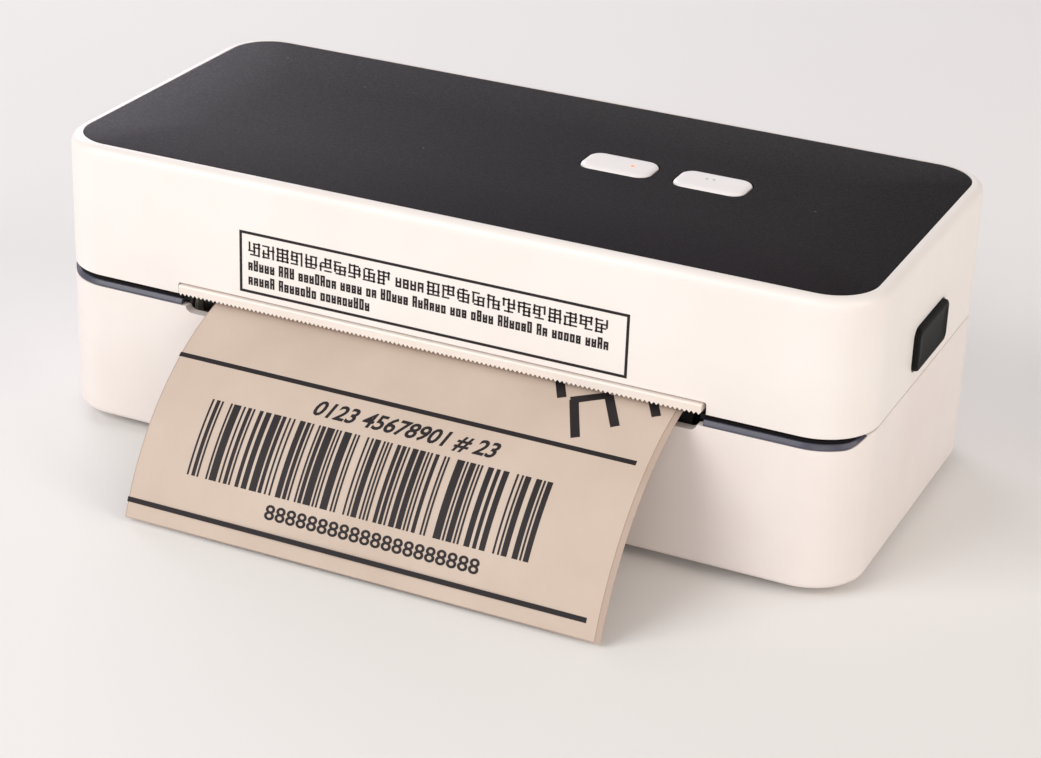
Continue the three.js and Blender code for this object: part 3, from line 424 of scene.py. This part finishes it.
def buildCover():
    # the wall's cross-section, from the middle of the recess over the rim and down, then back
    # up inside to the middle of the roof, carried round the body's plan
    top, low, wall = body["top"], body["seam"], body["wall"]
    recess = top - panel["sunk"]
    roof = recess - cover["roof"]
    inward = halfD * 0.6
    outline = easeProfile(
        [
            (inward, recess),
            (panel["inset"], recess),
            (panel["inset"], top),
            (0, top),
            (0, low),
            (wall, low),
            (wall, roof),
            (inward, roof),
        ],
        [0, 0, 0.25, cover["fillet"], cover["edge"], cover["edge"], cover["roofFillet"], 0],
        12,
    )
    piece = makePiece("coverSkin", *loftRings(bodyRings(outline)))
    gap = cover["gap"]
    through = [(0, roof - 2 * past), (0, top + 2 * past)]
    cuts = []
    for x in buttonPlaces:
        size = (buttons["width"] + 2 * gap, buttons["depth"] + 2 * gap)
        cuts.append(slab(size, buttons["holeRadius"], through, (x, buttons["y"], 0)))
    size = (latch["width"] + 2 * gap, latch["height"] + 2 * gap)
    through = [(0, -latch["reach"]), (0, latch["reach"])]
    y = halfD - hinge["radius"]
    rise = low + hinge["radius"] + hinge["rise"]
    for side in (-1, 1):
        centre = (side * halfW, latch["y"], low + latch["z"])
        cuts.append(slab(size, latch["radius"] + gap, through, centre, "x"))
        x = side * hinge["x"]
        near = (x - hinge["half"], y - hinge["front"], low - past)
        cuts.append(boxMesh(near, (x + hinge["half"], halfD + past, rise)))
    size = (2 * exitSlot["tearHalf"] + 2 * gap, 2 * (tearHigh[2] - low + gap))
    through = [(0, -halfD - past), (0, frontInner + 0.6)]
    cuts.append(slab(size, exitSlot["tearRadius"], through, (0, 0, low), "y"))
    near = (-rearSlot["half"], halfD - rearSlot["depth"], low - past)
    cuts.append(boxMesh(near, (rearSlot["half"], halfD + past, low + rearSlot["rise"])))
    booleanWith(piece, cuts, "DIFFERENCE")
    # the rear lower edge rolls about the hinge axis
    angle = np.linspace(0, math.pi / 2, 16)
    arcY = halfD - hinge["radius"] + hinge["radius"] * np.sin(angle)
    arcZ = low + hinge["radius"] - hinge["radius"] * np.cos(angle)
    section = [(y, z) for y, z in zip(arcY, arcZ)] + [(halfD + past, low + hinge["radius"])]
    section += [(halfD + past, low - past), (arcY[0], low - past)]
    rings = [[(x, y, z) for y, z in section] for x in (-halfW - past, halfW + past)]
    booleanWith(piece, [loftRings(rings)], "DIFFERENCE")
    dress(piece, "coverWhite", "cover_white", "cover", "cover_shell")


def buildPanel():
    # the sheet's half section, carried round the body's plan
    top, under = body["top"], panelLow[2]
    inset, inward = panel["inset"] + panel["gap"], halfD * 0.6
    corners = [(inward, top), (inset, top), (inset, under), (inward, under)]
    outline = easeProfile(corners, [0, 0.22, 0, 0], 4)
    piece = makePiece("panelSheet", *loftRings(bodyRings(outline)))
    wider = 2 * panel["holeGap"]
    size = (buttons["width"] + wider, buttons["depth"] + wider)
    through = [(0, top - 3), (0, top + 2 * past)]
    places = [(x, buttons["y"], 0) for x in buttonPlaces]
    cuts = [slab(size, panel["holeRadius"], through, place) for place in places]
    booleanWith(piece, cuts, "DIFFERENCE")
    dress(piece, "panel", "panel_black", "cover", "top_panel")


def buildButton(name, x, node, bodyName):
    # a crowned cap over a wider flange, on a round stem
    low, high = boxOf(node)
    top = high[2]
    size = (buttons["width"], buttons["depth"])
    crown = [(size[1] * 0.46, top), (2.4, top - 0.01), (1.2, top - 0.04), (0.6, top - 0.12)]
    crown += [(0.25, top - 0.3), (0.05, top - 0.6), (0, top - 1)]
    upper, wider = low[2] + buttons["flangeRise"], -buttons["flange"]
    lower = upper - buttons["flange"]
    flange = [(0, upper), (wider, upper), (wider, lower), (size[1] * 0.3, lower)]
    place = (x, buttons["y"], 0)
    piece = makePiece(name, *slab(size, buttons["radius"], crown + flange, place, "z", 12, 4))
    stem = rodMesh(place, buttons["stem"], low[2], upper - 0.5)
    booleanWith(piece, [stem], "UNION")
    dress(piece, "buttonWhite", "button_white", bodyName, node)
    return top


def buildTearBar():
    # saw-tooth lower edge: each tooth is a triangle of the pitch, on a sloping blade
    pitch = tooth["pitch"]
    count = int(2 * exitSlot["tearHalf"] / pitch)
    x = np.linspace(-count * pitch / 2, count * pitch / 2, 2 * count + 1)
    valley = tearLow[2] + tooth["depth"]
    edge = np.where(np.arange(len(x)) % 2 == 0, valley, tearLow[2])
    front = tearLow[1] - middle[1]
    rear = frontInner - 0.5
    top = np.full(len(x), tearHigh[2])
    section = [(front, edge), (front, top - tooth["slope"]), (front + tooth["bevel"], top)]
    section += [(rear, top), (rear, np.full(len(x), valley))]
    section.append((front + 0.6, np.full(len(x), valley)))
    section.append((front + tooth["seat"], edge + tooth["tip"]))
    rings = [np.column_stack([x, np.full(len(x), y), level]) for y, level in section]
    verts = np.array(rings).transpose(1, 0, 2)
    piece = makePiece("tearBarBlade", *loftRings(verts), smooth=20)
    dress(piece, "tearClear", "tear_bar", "cover", "tear_bar")


def buildLatch(name, side, node, bodyName):
    # a dished tab over a wider flange, with a rib inside and an arm down to the catch
    low, high = boxOf(node)
    outer = high[0] if side > 0 else -low[0]
    size = (latch["width"], latch["height"])
    deep, thick, half = size[1] * 0.45, latch["thick"], latch["armHalf"]
    face = [(deep, outer - 0.25), (1.6, outer - 0.2), (1.05, outer - 0.02)]
    face += [(0.75, outer), (0.4, outer - 0.08), (0.12, outer - 0.3), (0, outer - 0.7)]
    back = halfW - body["wall"] - latch["gap"]
    face += [(0, back), (-latch["flange"], back), (-latch["flange"], back - thick)]
    face.append((deep, back - thick))
    centre = (0, latch["y"], body["seam"] + latch["z"])
    verts, faces = slab(size, latch["radius"], face, centre, "x", 10, 4)
    piece = makePiece(name, verts * np.array([side, 1, 1]), faces)
    armX = halfW - body["wall"] - 1.75
    spans = [(armX, body["rim"] - latch["armDrop"]), (back - 1, body["seam"] + latch["ribRise"])]
    ribs = []
    for outside, foot in spans:
        a, b = sorted((side * (armX - thick), side * outside))
        ribs.append(boxMesh((a, latch["y"] - half, foot), (b, latch["y"] + half, centre[2])))
    booleanWith(piece, ribs, "UNION")
    dress(piece, "latchBlack", "latch_black", bodyName, node)


print("cover")
buildCover()
buildPanel()
topFace = buildButton("powerButtonCap", buttonPlaces[0], "button_power", "power_button")
buildButton("feedButtonCap", buttonPlaces[1], "button_feed", "feed_button")
buildTearBar()
buildLatch("latchTabLeft", -1, "side_latch_left", "latch_left")
buildLatch("latchTabRight", 1, "side_latch_right", "latch_right")


base = {"floor": 2.4, "edge": 1.6, "rim": 0.3, "floorFillet": 0.9, "rise": 5.5}
boss = {"x": 57, "front": -17, "rear": 24, "radius": 4.5, "rise": 4.6}
screw = {"radius": 1.6, "head": 3.1, "sunk": 0.6}
catch = {"inset": 0.7, "half": 0.75, "long": 7, "low": 4.2, "high": 1.4}
vent = {"count": 6, "length": 28, "width": 2, "x": 28, "y": -11, "pitch": 5}
ports = {"z": 9.0, "height": 11.0, "gap": 0.6, "radius": 0.8, "jack": 26, "jackRadius": 4.3}
portWidths = {-27: 14.6, 6: 12.6}  # the switch and the data inlet: place along x and width
dipEnd = -halfD + body["corner"] * 0.3 + base["rise"]


def rimDrop(y):
    # the front rim lies low and rises by a smooth step to the level of the side rims
    # t^2 (3 - 2t), with t from 0 at the side to 1 at the front
    t = np.clip((dipEnd - y) / base["rise"], 0, 1)
    return body["grooveDrop"] * t * t * (3 - 2 * t)


def buildBase():
    low, rim, wall = body["bottom"], body["rim"], body["wall"]
    floor = low + base["floor"]
    inward = halfD * 0.6
    outline = easeProfile(
        [(inward, low), (0, low), (0, rim), (wall, rim), (wall, floor), (inward, floor)],
        [0, base["edge"], base["rim"], base["rim"], base["floorFillet"], 0],
        8,
    )
    rings = bodyRings(outline, 20, 16)
    # the upper fifth of the wall follows the rim down
    height = (rings[..., 2] - floor) / (rim - floor)
    near = np.clip((height - 0.8) / 0.2, 0, 1)
    rings[..., 2] -= rimDrop(rings[..., 1]) * near
    piece = makePiece("baseSkin", *loftRings(rings))
    bossPlaces = [(x, y) for y in (boss["front"], boss["rear"]) for x in (-boss["x"], boss["x"])]
    solids = [rodMesh(p, boss["radius"], floor - 0.5, floor + boss["rise"]) for p in bossPlaces]
    for side in (-1, 1):
        x = side * (halfW - wall - catch["inset"])
        near = (x - catch["half"], latch["y"] - catch["long"], rim - catch["low"])
        far = (x + catch["half"], latch["y"] + catch["long"], rim - catch["high"])
        solids.append(boxMesh(near, far))
    booleanWith(piece, solids, "UNION")
    size = (2 * exitSlot["half"], 2 * exitSlot["drop"])
    through = [(0, -halfD - past), (0, frontInner + past)]
    cuts = [slab(size, exitSlot["radius"], through, (0, 0, rim), "y")]
    near = (-rearSlot["half"], halfD - wall - past, deckHigh[2])
    cuts.append(boxMesh(near, (rearSlot["half"], halfD + past, rim + past)))
    cuts += [rodMesh(p, screw["radius"], low - past, floor + 5) for p in bossPlaces]
    cuts += [rodMesh(p, screw["head"], low - past, floor + screw["sunk"]) for p in bossPlaces]
    size = (vent["length"], vent["width"])
    through = [(0, low - past), (0, floor + past)]
    for side in (-1, 1):
        for k in range(vent["count"]):
            place = (side * vent["x"], vent["y"] + vent["pitch"] * k, 0)
            cuts.append(slab(size, 0.99, through, place, "z", 5, 1))
    inside, outside = halfD - wall - past, halfD + past
    middleZ = ports["z"] + ports["height"] / 2
    for x, wide in portWidths.items():
        size = (wide, ports["height"] + ports["gap"])
        through = [(0, inside), (0, outside)]
        cuts.append(slab(size, ports["radius"], through, (x, 0, middleZ), "y"))
    cuts.append(rodMesh((ports["jack"], middleZ), ports["jackRadius"], inside, outside, "y"))
    booleanWith(piece, cuts, "DIFFERENCE")
    dress(piece, "baseWhite", "base_white", "base", "base_shell")


trim = {
    # (outwards, share of the height) of the bevel that shows and of the black backing behind it;
    # the backing is painted shade, a black strip standing for the shadow under the cover in the
    # upper groove
    "bevel": [(0.5, 0.0), (0.5, 0.1), (0.42, 0.2), (0.02, 0.6), (-0.1, 0.64)]
    + [(-0.95, 0.64), (-0.95, 0)],
    "shadeBacking": [(-0.35, 0.66), (-0.35, 1.0), (-0.95, 1.0), (-0.95, 0.66)],
    "lift": 0.12,
    "fill": 0.78,
    "gap": 0.2,
    "inset": 0.6,
    "tip": 0.9,
}
foot = {"gap": 0.3, "dish": 0.12, "hub": 0.2, "sides": 40}


def buildTrim(name, side, section, materialKey, nodes):
    # a strip along the lowered rim: its section shrinks to a point at the tip
    inner = exitSlot["half"] + trim["gap"]
    inset = trim["inset"]
    size = (body["width"] - 2 * inset, body["depth"] - 2 * inset)
    full = planLoop(*size, body["corner"] - inset, 60, 120)
    keep = full[(full[:, 1] < dipEnd - trim["tip"]) & (side * full[:, 0] > inner)]
    path = keep[np.argsort(side * keep[:, 0] + 3 * keep[:, 1])]
    step = np.gradient(path, axis=0)
    step /= np.linalg.norm(step, axis=1)[:, None]
    outward = np.column_stack([step[:, 1], -step[:, 0]]) * side
    floor = body["rim"] - rimDrop(path[:, 1]) + trim["lift"]
    height = np.clip((body["rim"] + 0.2 - floor) * trim["fill"], 0.05, None)
    rings = [np.column_stack([path + outward * out, floor + height * up]) for out, up in section]
    piece = makePiece(name, *loftRings(np.array(rings).transpose(1, 0, 2)), smooth=25)
    dress(piece, materialKey, "trim_dark", "base", *nodes)


def buildFoot(name, node):
    # the section runs from the dished sole round the pad's edge and up the stud
    low, high = boxOf(node)
    centre = (low + high) / 2 - middle
    radius = (high[0] - low[0]) / 2
    pad, stud = body["bottom"] - foot["gap"], radius / 3
    edge = [(1.4, foot["dish"]), (0.9, 0.0), (0.4, 0.05), (0.1, 0.25), (0, 0.6), (0, pad)]
    section = [(foot["hub"], foot["dish"])] + [(radius - inset, z) for inset, z in edge]
    section += [(stud, pad), (stud, high[2]), (foot["hub"], high[2])]
    rings = [ringAt(circle(centre, r, foot["sides"]), z) for r, z in section]
    piece = makePiece(name, *loftRings(rings))
    dress(piece, "rubber", "rubber", "base", node)


print("base")
buildBase()
for hand, side in (("left", -1), ("right", 1)):
    ending = hand.capitalize()
    buildTrim("trimBevel" + ending, side, trim["bevel"], "trimBlue", ["trim_strip_" + hand])
    # the black backing strips are painted shade where the cover's overhang shades the upper groove
    buildTrim("trimShadeBacking" + ending, side, trim["shadeBacking"], "latchBlack", [])
for end in ("front", "rear"):
    for hand in ("left", "right"):
        buildFoot("foot" + end.capitalize() + hand.capitalize(), f"foot_{end}_{hand}")


label = {
    "radius": 54.0, "liftOff": 3.0, "end": 70.6, "width": 107.4, "x": 2.0, "strip": 1.3,
    "margin": 0.3, "liner": (-0.14, 0.02), "face": (0.02, 0.15), "ink": (0.1, 0.19),
    "exitTurn": 16, "clear": 0.35, "drop": 0.3, "flatLength": 20, "curlLength": 46,
}
exitTurn = math.radians(label["exitTurn"])
labelCentreY = -halfD - label["clear"] + label["radius"] * math.sin(exitTurn)
labelCentreZ = body["rim"] - label["drop"] - label["radius"] * math.cos(exitTurn)


def onLabel(x, along, lift):
    # a point of the curled label: x across, along is the arc length from the curl's top and
    # lift is the height over its middle surface; the corners curl a little less than the middle
    angle = along / label["radius"]
    side = (x - label["x"]) / (label["width"] / 2)
    free = np.clip((along - label["flatLength"]) / label["curlLength"], 0, 1) ** 2
    radius = label["radius"] + lift + 0.35 * free * (side**2 - 0.4)
    return np.stack(
        [x, labelCentreY - radius * np.sin(angle), labelCentreZ + radius * np.cos(angle)], -1
    )


def buildStrip(name, x0, x1, levels, start, end, materialKey, nodes):
    # a thin closed strip: a flat cross-section carried along the arc
    low, high = levels
    across = np.linspace(x0, x1, 25)
    x = np.concatenate([across, across[::-1]])
    lift = np.concatenate([np.full(25, high), np.full(25, low)])
    along = np.linspace(start, end, 49)
    verts = onLabel(x[None, :] + 0 * along[:, None], along[:, None] + 0 * x, lift[None, :])
    piece = makePiece(name, *loftRings(verts), smooth=40)
    dress(piece, materialKey, "label_paper", "base", *nodes)


def inkBoxes(quads, place, low, high, rows=1):
    # each quad (start left, start right, end right, end left) becomes a thin closed bar whose
    # long sides are cut into rows, so that it can follow a bent sheet
    quads = np.asarray(quads, float)
    t = np.linspace(0, 1, rows + 1)[None, :, None]
    left = quads[:, None, 0] + (quads[:, None, 3] - quads[:, None, 0]) * t
    right = quads[:, None, 1] + (quads[:, None, 2] - quads[:, None, 1]) * t
    flat = np.stack([left, right, right, left], 2)
    lift = np.broadcast_to(np.array([low, low, high, high]), flat.shape[:3])
    verts = place(flat[..., 0], flat[..., 1], lift).reshape(-1, 3)
    block = np.arange(len(quads) * (rows + 1) * 4).reshape(len(quads), rows + 1, 4)
    a, b = block[:, :-1], block[:, 1:]
    sides = np.stack([a, np.roll(a, -1, 2), np.roll(b, -1, 2), b], -1).reshape(-1, 4)
    ends = np.concatenate([block[:, 0, ::-1], block[:, -1]])
    return verts, np.concatenate([sides, ends]).tolist()


def joinMeshes(parts):
    verts, faces, count = [], [], 0
    for v, f in parts:
        verts.append(v)
        faces += [[i + count for i in face] for face in f]
        count += len(v)
    return np.concatenate(verts), faces


def rectangle(x0, x1, y0, y1):
    return [(x0, y0), (x1, y0), (x1, y1), (x0, y1)]


def stroke(p, q, width):
    # a straight pen stroke between two points
    p, q = np.array(p, float), np.array(q, float)
    way = (q - p) / np.linalg.norm(q - p)
    off = np.array([-way[1], way[0]]) * width / 2
    return [tuple(p - off), tuple(p + off), tuple(q + off), tuple(q - off)]


def typeset(text):
    # numerals from the built-in face as thin closed solids: x to the right, y up, z from 0 to 1
    curve = bpy.data.curves.new("numerals", "FONT")
    curve.body = text["body"]
    curve.size = text["height"] / 0.72
    curve.shear = text["lean"]
    curve.offset = text["weight"]
    curve.extrude = 0.5
    curve.resolution_u = 3
    holder = addObject("numerals", curve)
    graph = bpy.context.evaluated_depsgraph_get()
    mesh = bpy.data.meshes.new_from_object(holder.evaluated_get(graph))
    flat = np.empty(len(mesh.vertices) * 3)
    mesh.vertices.foreach_get("co", flat)
    faces = [list(face.vertices) for face in mesh.polygons]
    bpy.data.objects.remove(holder)
    verts = flat.reshape(-1, 3)
    verts[:, 0] -= verts[:, 0].min()
    return verts + np.array([0, 0, curve.extrude]), faces


def setOnLabel(text):
    # fits the line of numerals to its width and bends it onto the label, standing on its foot
    verts, faces = typeset(text)
    x = text["x"] + verts[:, 0] * text["width"] / verts[:, 0].max()
    low, high = label["ink"]
    return onLabel(x, text["foot"] - verts[:, 1], low + (high - low) * verts[:, 2]), faces


def mockWords(x0, foot, lengths, size, weight, rng):
    # greeked words: each letter is an open box of two stems and two or three cross strokes;
    # size is (height, letter pitch) and lengths holds the letters in each word
    height, pitch = size
    levels = [(0, 1), (0, 0.55), (0.45, 1), (0, 0.5, 1)]
    quads, x = [], x0
    for count in lengths:
        for _ in range(count):
            tall = height * rng.choice([1.0, 1.36], p=[0.72, 0.28])
            wide = pitch * 0.78
            for left in (x, x + wide - weight):
                quads.append(rectangle(left, left + weight, foot - tall, foot))
            for share in levels[rng.integers(len(levels))]:
                y = foot - weight - (tall - weight) * share
                quads.append(rectangle(x + weight, x + wide - weight, y, y + weight))
            x += pitch
        x += pitch * 0.6
    return quads


def mockSigns(x0, foot, count, size, weight, rng):
    # greeked square signs: three upright and four level strokes, each over part of its way
    height, pitch = size
    wide = pitch * 0.86
    ways = [(0, 1), (0, 0.6), (0.4, 1), (0.15, 0.85)]
    quads = []
    for k in range(count):
        x = x0 + k * pitch
        for share in (0.05, 0.5, 0.95):
            low, high = ways[rng.integers(len(ways))]
            left = x + (wide - weight) * share
            quads.append(rectangle(left, left + weight, foot - height * high, foot - height * low))
        for share in (0.03, 0.34, 0.66, 0.97):
            low, high = ways[rng.integers(len(ways))]
            y = foot - weight * 0.8 - (height - weight) * share
            quads.append(rectangle(x + wide * low, x + wide * high, y, y + weight * 0.8))
    return quads


printing = {
    "lines": (29.4, 62.2), "lineWeight": 1.05, "lineHalf": 51.8,
    "barTop": 38.2, "barEnd": 54.8, "barLeft": -39.8, "barRight": 37.6, "module": 0.42,
}
title = {
    "body": "0123 45678901 # 23", "x": -17.3, "foot": 36.2, "width": 41.6, "height": 3.5,
    "lean": 0.32, "weight": 0.11,
}
digits = {
    "body": "8" * 20, "x": -20.4, "foot": 59.6, "width": 48.3, "height": 3.1,
    "lean": 0.0, "weight": 0.06,
}
# ends of large turned marks that have just left the slot
slotMarks = [[(28.6, 13.6), (31.2, 18.4)], [(48.9, 13.4), (51.4, 17.6)]]
slotMarks += [[(33.2, 18.6), (40.4, 14.6)], [(33.8, 18.2), (38.0, 27.4)]]
slotMarks += [[(40.0, 14.9), (44.6, 22.6)]]
markWeight = 1.9


def buildPrinting():
    rng = np.random.default_rng(11)
    weight, half = printing["lineWeight"], printing["lineHalf"]
    rows = [rectangle(-half, half + 0.3, y, y + weight) for y in printing["lines"]]
    # bar code: bar and space widths are whole modules drawn at random
    module, last = printing["module"], printing["barRight"]
    x, bars = printing["barLeft"], []
    while x < last:
        wide = module * rng.choice([1, 1, 2, 3, 4], p=[0.36, 0.1, 0.28, 0.16, 0.1])
        bars.append(rectangle(x, min(x + wide, last), printing["barTop"], printing["barEnd"]))
        x += wide + module * rng.choice([0.9, 1.5, 2.6, 4.0], p=[0.45, 0.3, 0.17, 0.08])
    marks = [stroke(*ends, markWeight) for ends in slotMarks]
    parts = [setOnLabel(text) for text in (title, digits)]
    parts.append(inkBoxes(rows, onLabel, *label["ink"]))
    parts.append(inkBoxes(bars, onLabel, *label["ink"], rows=12))
    parts.append(inkBoxes(marks, onLabel, *label["ink"], rows=5))
    piece = makePiece("labelPrinting", *joinMeshes(parts))
    dress(piece, "ink", "label_paper", "base")


# the frame, then how far down each row of characters stands, then their strokes
notice = {
    "x0": -45.4, "x1": 43.5, "z0": 39.6, "z1": 53.5, "line": 0.6, "margin": 2.1,
    "signFoot": 5.3, "midFoot": 5.1, "secondFoot": 8.7, "thirdFoot": 12.0,
    "signWeight": 0.4, "letterWeight": 0.42, "relief": 0.05,
}


def onFront(x, drop, lift):  # a point of the cover's front wall, drop below the notice's top
    return np.stack([x, -halfD - lift, notice["z1"] - drop], -1)


def buildNotice():
    # a framed notice of made-up characters, printed on the front of the cover
    rng = np.random.default_rng(5)
    x0, x1, line = notice["x0"], notice["x1"], notice["line"]
    deep = notice["z1"] - notice["z0"]
    quads = [rectangle(x0, x1, 0, line), rectangle(x0, x1, deep - line, deep)]
    quads.append(rectangle(x0, x0 + line, line, deep - line))
    quads.append(rectangle(x1 - line, x1, line, deep - line))
    start = x0 + notice["margin"]
    signs, middling, letters = (3.1, 3.4), (2.1, 1.7), (1.8, 1.31)
    heavy, light = notice["letterWeight"], notice["signWeight"]
    second = (5, 3, 7, 4, 2, 5, 6, 3, 4, 6, 2, 5, 4)
    quads += mockSigns(start, notice["signFoot"], 10, signs, light, rng)
    quads += mockWords(start + 34.8, notice["midFoot"], (4,), middling, heavy, rng)
    quads += mockSigns(start + 42.0, notice["signFoot"], 12, signs, light, rng)
    quads += mockWords(start, notice["secondFoot"], second, letters, heavy, rng)
    quads += mockWords(start, notice["thirdFoot"], (5, 7, 9), letters, heavy, rng)
    piece = makePiece("careNotice", *inkBoxes(quads, onFront, 0.0, notice["relief"]))
    dress(piece, "ink", "cover_white", "cover")


lamp = {
    "x": 3.0, "y": -0.2, "sides": 20,
    # (radius, height over the button) from the foot of the lamp to its crown
    "section": [(0.42, -0.05), (0.42, 0.02), (0.34, 0.07), (0.18, 0.1), (0.02, 0.105)],
}
feedStrokes = [[(-1.9, 0.65), (-1.35, 0.85)], [(-0.4, 0.85), (0.15, 0.95)]]


def onButton(x, y, lift):
    return np.stack([x, y, topFace + lift], -1)


def buildIndicator():
    # a small lamp on the power button and two faint feed marks on the other
    centre = (buttonPlaces[0] + lamp["x"], buttons["y"] + lamp["y"])
    rings = []
    for radius, up in lamp["section"]:
        rings.append(ringAt(circle(centre, radius, lamp["sides"]), topFace + up))
    piece = makePiece("powerLamp", *loftRings(rings))
    dress(piece, "led", "button_white", "power_button")
    origin = np.array([buttonPlaces[1], buttons["y"]])
    marks = [stroke(origin + start, origin + end, 0.4) for start, end in feedStrokes]
    piece = makePiece("feedMark", *inkBoxes(marks, onButton, -0.03, 0.03))
    dress(piece, "aluminium", "button_white", "feed_button")


print("label and printing")
startArc = label["radius"] * math.radians(label["liftOff"])
endArc = label["radius"] * math.radians(label["end"])
linerLeft = label["x"] - label["width"] / 2
linerRight = label["x"] + label["width"] / 2
faceLeft, faceRight = linerLeft + label["margin"], linerRight - label["strip"]
linerEnds, faceEnds = (startArc, endArc), (startArc, endArc - 0.2)
node = "printed_label"
buildStrip("labelLiner", linerLeft, linerRight, label["liner"], *linerEnds, "liner", [node])
buildStrip("labelFace", faceLeft, faceRight, label["face"], *faceEnds, "paper", [])
buildPrinting()
buildNotice()
buildIndicator()


innerFinish = {
    "frameBlack": ["cover_frame", "media_deck", "hinge_bracket_left", "hinge_bracket_right"]
    + ["media_guide_left", "media_guide_right"],
    "latchBlack": ["switch_housing", "dc_jack", "power_rocker", "media_sensor"],
    "rubber": ["platen_roller"],
    "gearNylon": ["platen_gear", "idler_gear", "guide_pinion"]
    + ["platen_bush_left", "platen_bush_right"],
    "brass": ["motor_pinion"],
    "aluminium": ["head_bracket"],
    "ceramic": ["print_head"],
    "board": ["main_board", "button_board"],
    "ribbon": ["head_ribbon"],
    "cable": ["motor_cable"],
}
# every other node shows its own solid; what no row names is steel
swapped = {"base_shell", "cover_shell", "top_panel", "button_power", "button_feed", "tear_bar"}
for name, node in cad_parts.items():
    if name in swapped:
        continue
    key = next((key for key, group in innerFinish.items() if name in group), "steel")
    node.data.materials.clear()
    node.data.materials.append(finish[key])


print("stage")
view = {
    "azimuth": 24.232, "elevation": 25.25, "roll": 2.18, "lens": 92.116, "sensor": 36,
    "eye": np.array([221.24, -488.97, 264.98]) + middle,
}
backdrop = {"half": 1500, "bend": 700, "length": 500, "rise": 300}
# each light: where it stands and what it faces in metres, its size, power and tint
lights = {
    "keySoftbox": [(-0.7, -1.0, 0.85), (0, 0, 0.03), (1.0, 0.8), 11.5, "fffdfb"],
    "fillSoftbox": [(0.65, -1.2, 0.5), (0, 0, 0.03), (0.9, 0.7), 3.6, "fff4ea"],
    "sideSoftbox": [(1.0, -0.1, 0.6), (0, 0, 0.03), (0.6, 0.6), 3.4, "fff0e2"],
    "rearSoftbox": [(-0.95, 0.8, 0.52), (-0.05, 0, 0.05), (0.7, 0.5), 5.6, "f6f0ff"],
}
studio = {"tint": "fdfcfb", "strength": 0.42}


def turnTo(holder, right, up, back, place):
    columns = np.column_stack([right, up, back, place])
    holder.matrix_world = Matrix([*columns.tolist(), [0, 0, 0, 1]])


def buildCamera():
    az, el, roll = (math.radians(view[key]) for key in ("azimuth", "elevation", "roll"))
    right = np.array([math.cos(az), math.sin(az), 0])
    back = np.array([math.sin(az) * math.cos(el), -math.cos(az) * math.cos(el), math.sin(el)])
    up = np.cross(back, right)
    turnedRight = math.cos(roll) * right + math.sin(roll) * up
    turnedUp = -math.sin(roll) * right + math.cos(roll) * up
    data = bpy.data.cameras.new("camera")
    data.lens = view["lens"]
    data.sensor_width = view["sensor"]
    data.clip_start = 0.01
    camera = addObject("camera", data)
    turnTo(camera, turnedRight, turnedUp, back, view["eye"] * mm)
    bpy.context.scene.camera = camera


def buildFloor():
    # a floor that bends up far behind the object
    along = np.linspace(-backdrop["half"], backdrop["half"], 31)
    depth = np.linspace(-backdrop["half"], backdrop["half"], 61)
    bent = np.clip((depth - backdrop["bend"]) / backdrop["length"], 0, None)
    rise = bent**2 * backdrop["rise"]
    grid = np.array([[(x, y, z) for x in along] for y, z in zip(depth, rise)])
    index = np.arange(grid.shape[0] * grid.shape[1]).reshape(grid.shape[:2])
    quads = np.stack([index[:-1, :-1], index[:-1, 1:], index[1:, 1:], index[1:, :-1]], -1)
    floor = makePiece("floor", grid.reshape(-1, 3) - middle, quads.reshape(-1, 4).tolist())
    material, tree, shader, place = startMaterial("paintedBoard", {"Specular IOR Level": 0.2})
    slow = mottle(tree, place, 3)
    tree.links.new(tint(tree, slow, "f4f3f2", "f1f0ef"), shader.inputs["Base Color"])
    tree.links.new(spread(tree, slow, 0.8, 0.9), shader.inputs["Roughness"])
    floor.data.materials.append(material)


def addLight(name, place, target, size, power, tone):
    data = bpy.data.lights.new(name, "AREA")
    data.shape = "RECTANGLE"
    data.size, data.size_y = size
    data.energy = power
    data.color = colour(tone)[:3]
    aim = np.array(place, float) - np.array(target, float)
    aim /= np.linalg.norm(aim)
    side = np.cross([0, 0, 1], aim)
    side /= np.linalg.norm(side)
    turnTo(addObject(name, data), side, np.cross(aim, side), aim, place)


buildCamera()
buildFloor()
for name, settings in lights.items():
    addLight(name, *settings)
world = bpy.data.worlds.new("studio")
bpy.context.scene.world = world
world.use_nodes = True
background = world.node_tree.nodes["Background"]
background.inputs["Color"].default_value = colour(studio["tint"])
background.inputs["Strength"].default_value = studio["strength"]
bpy.context.scene.view_settings.view_transform = "Standard"
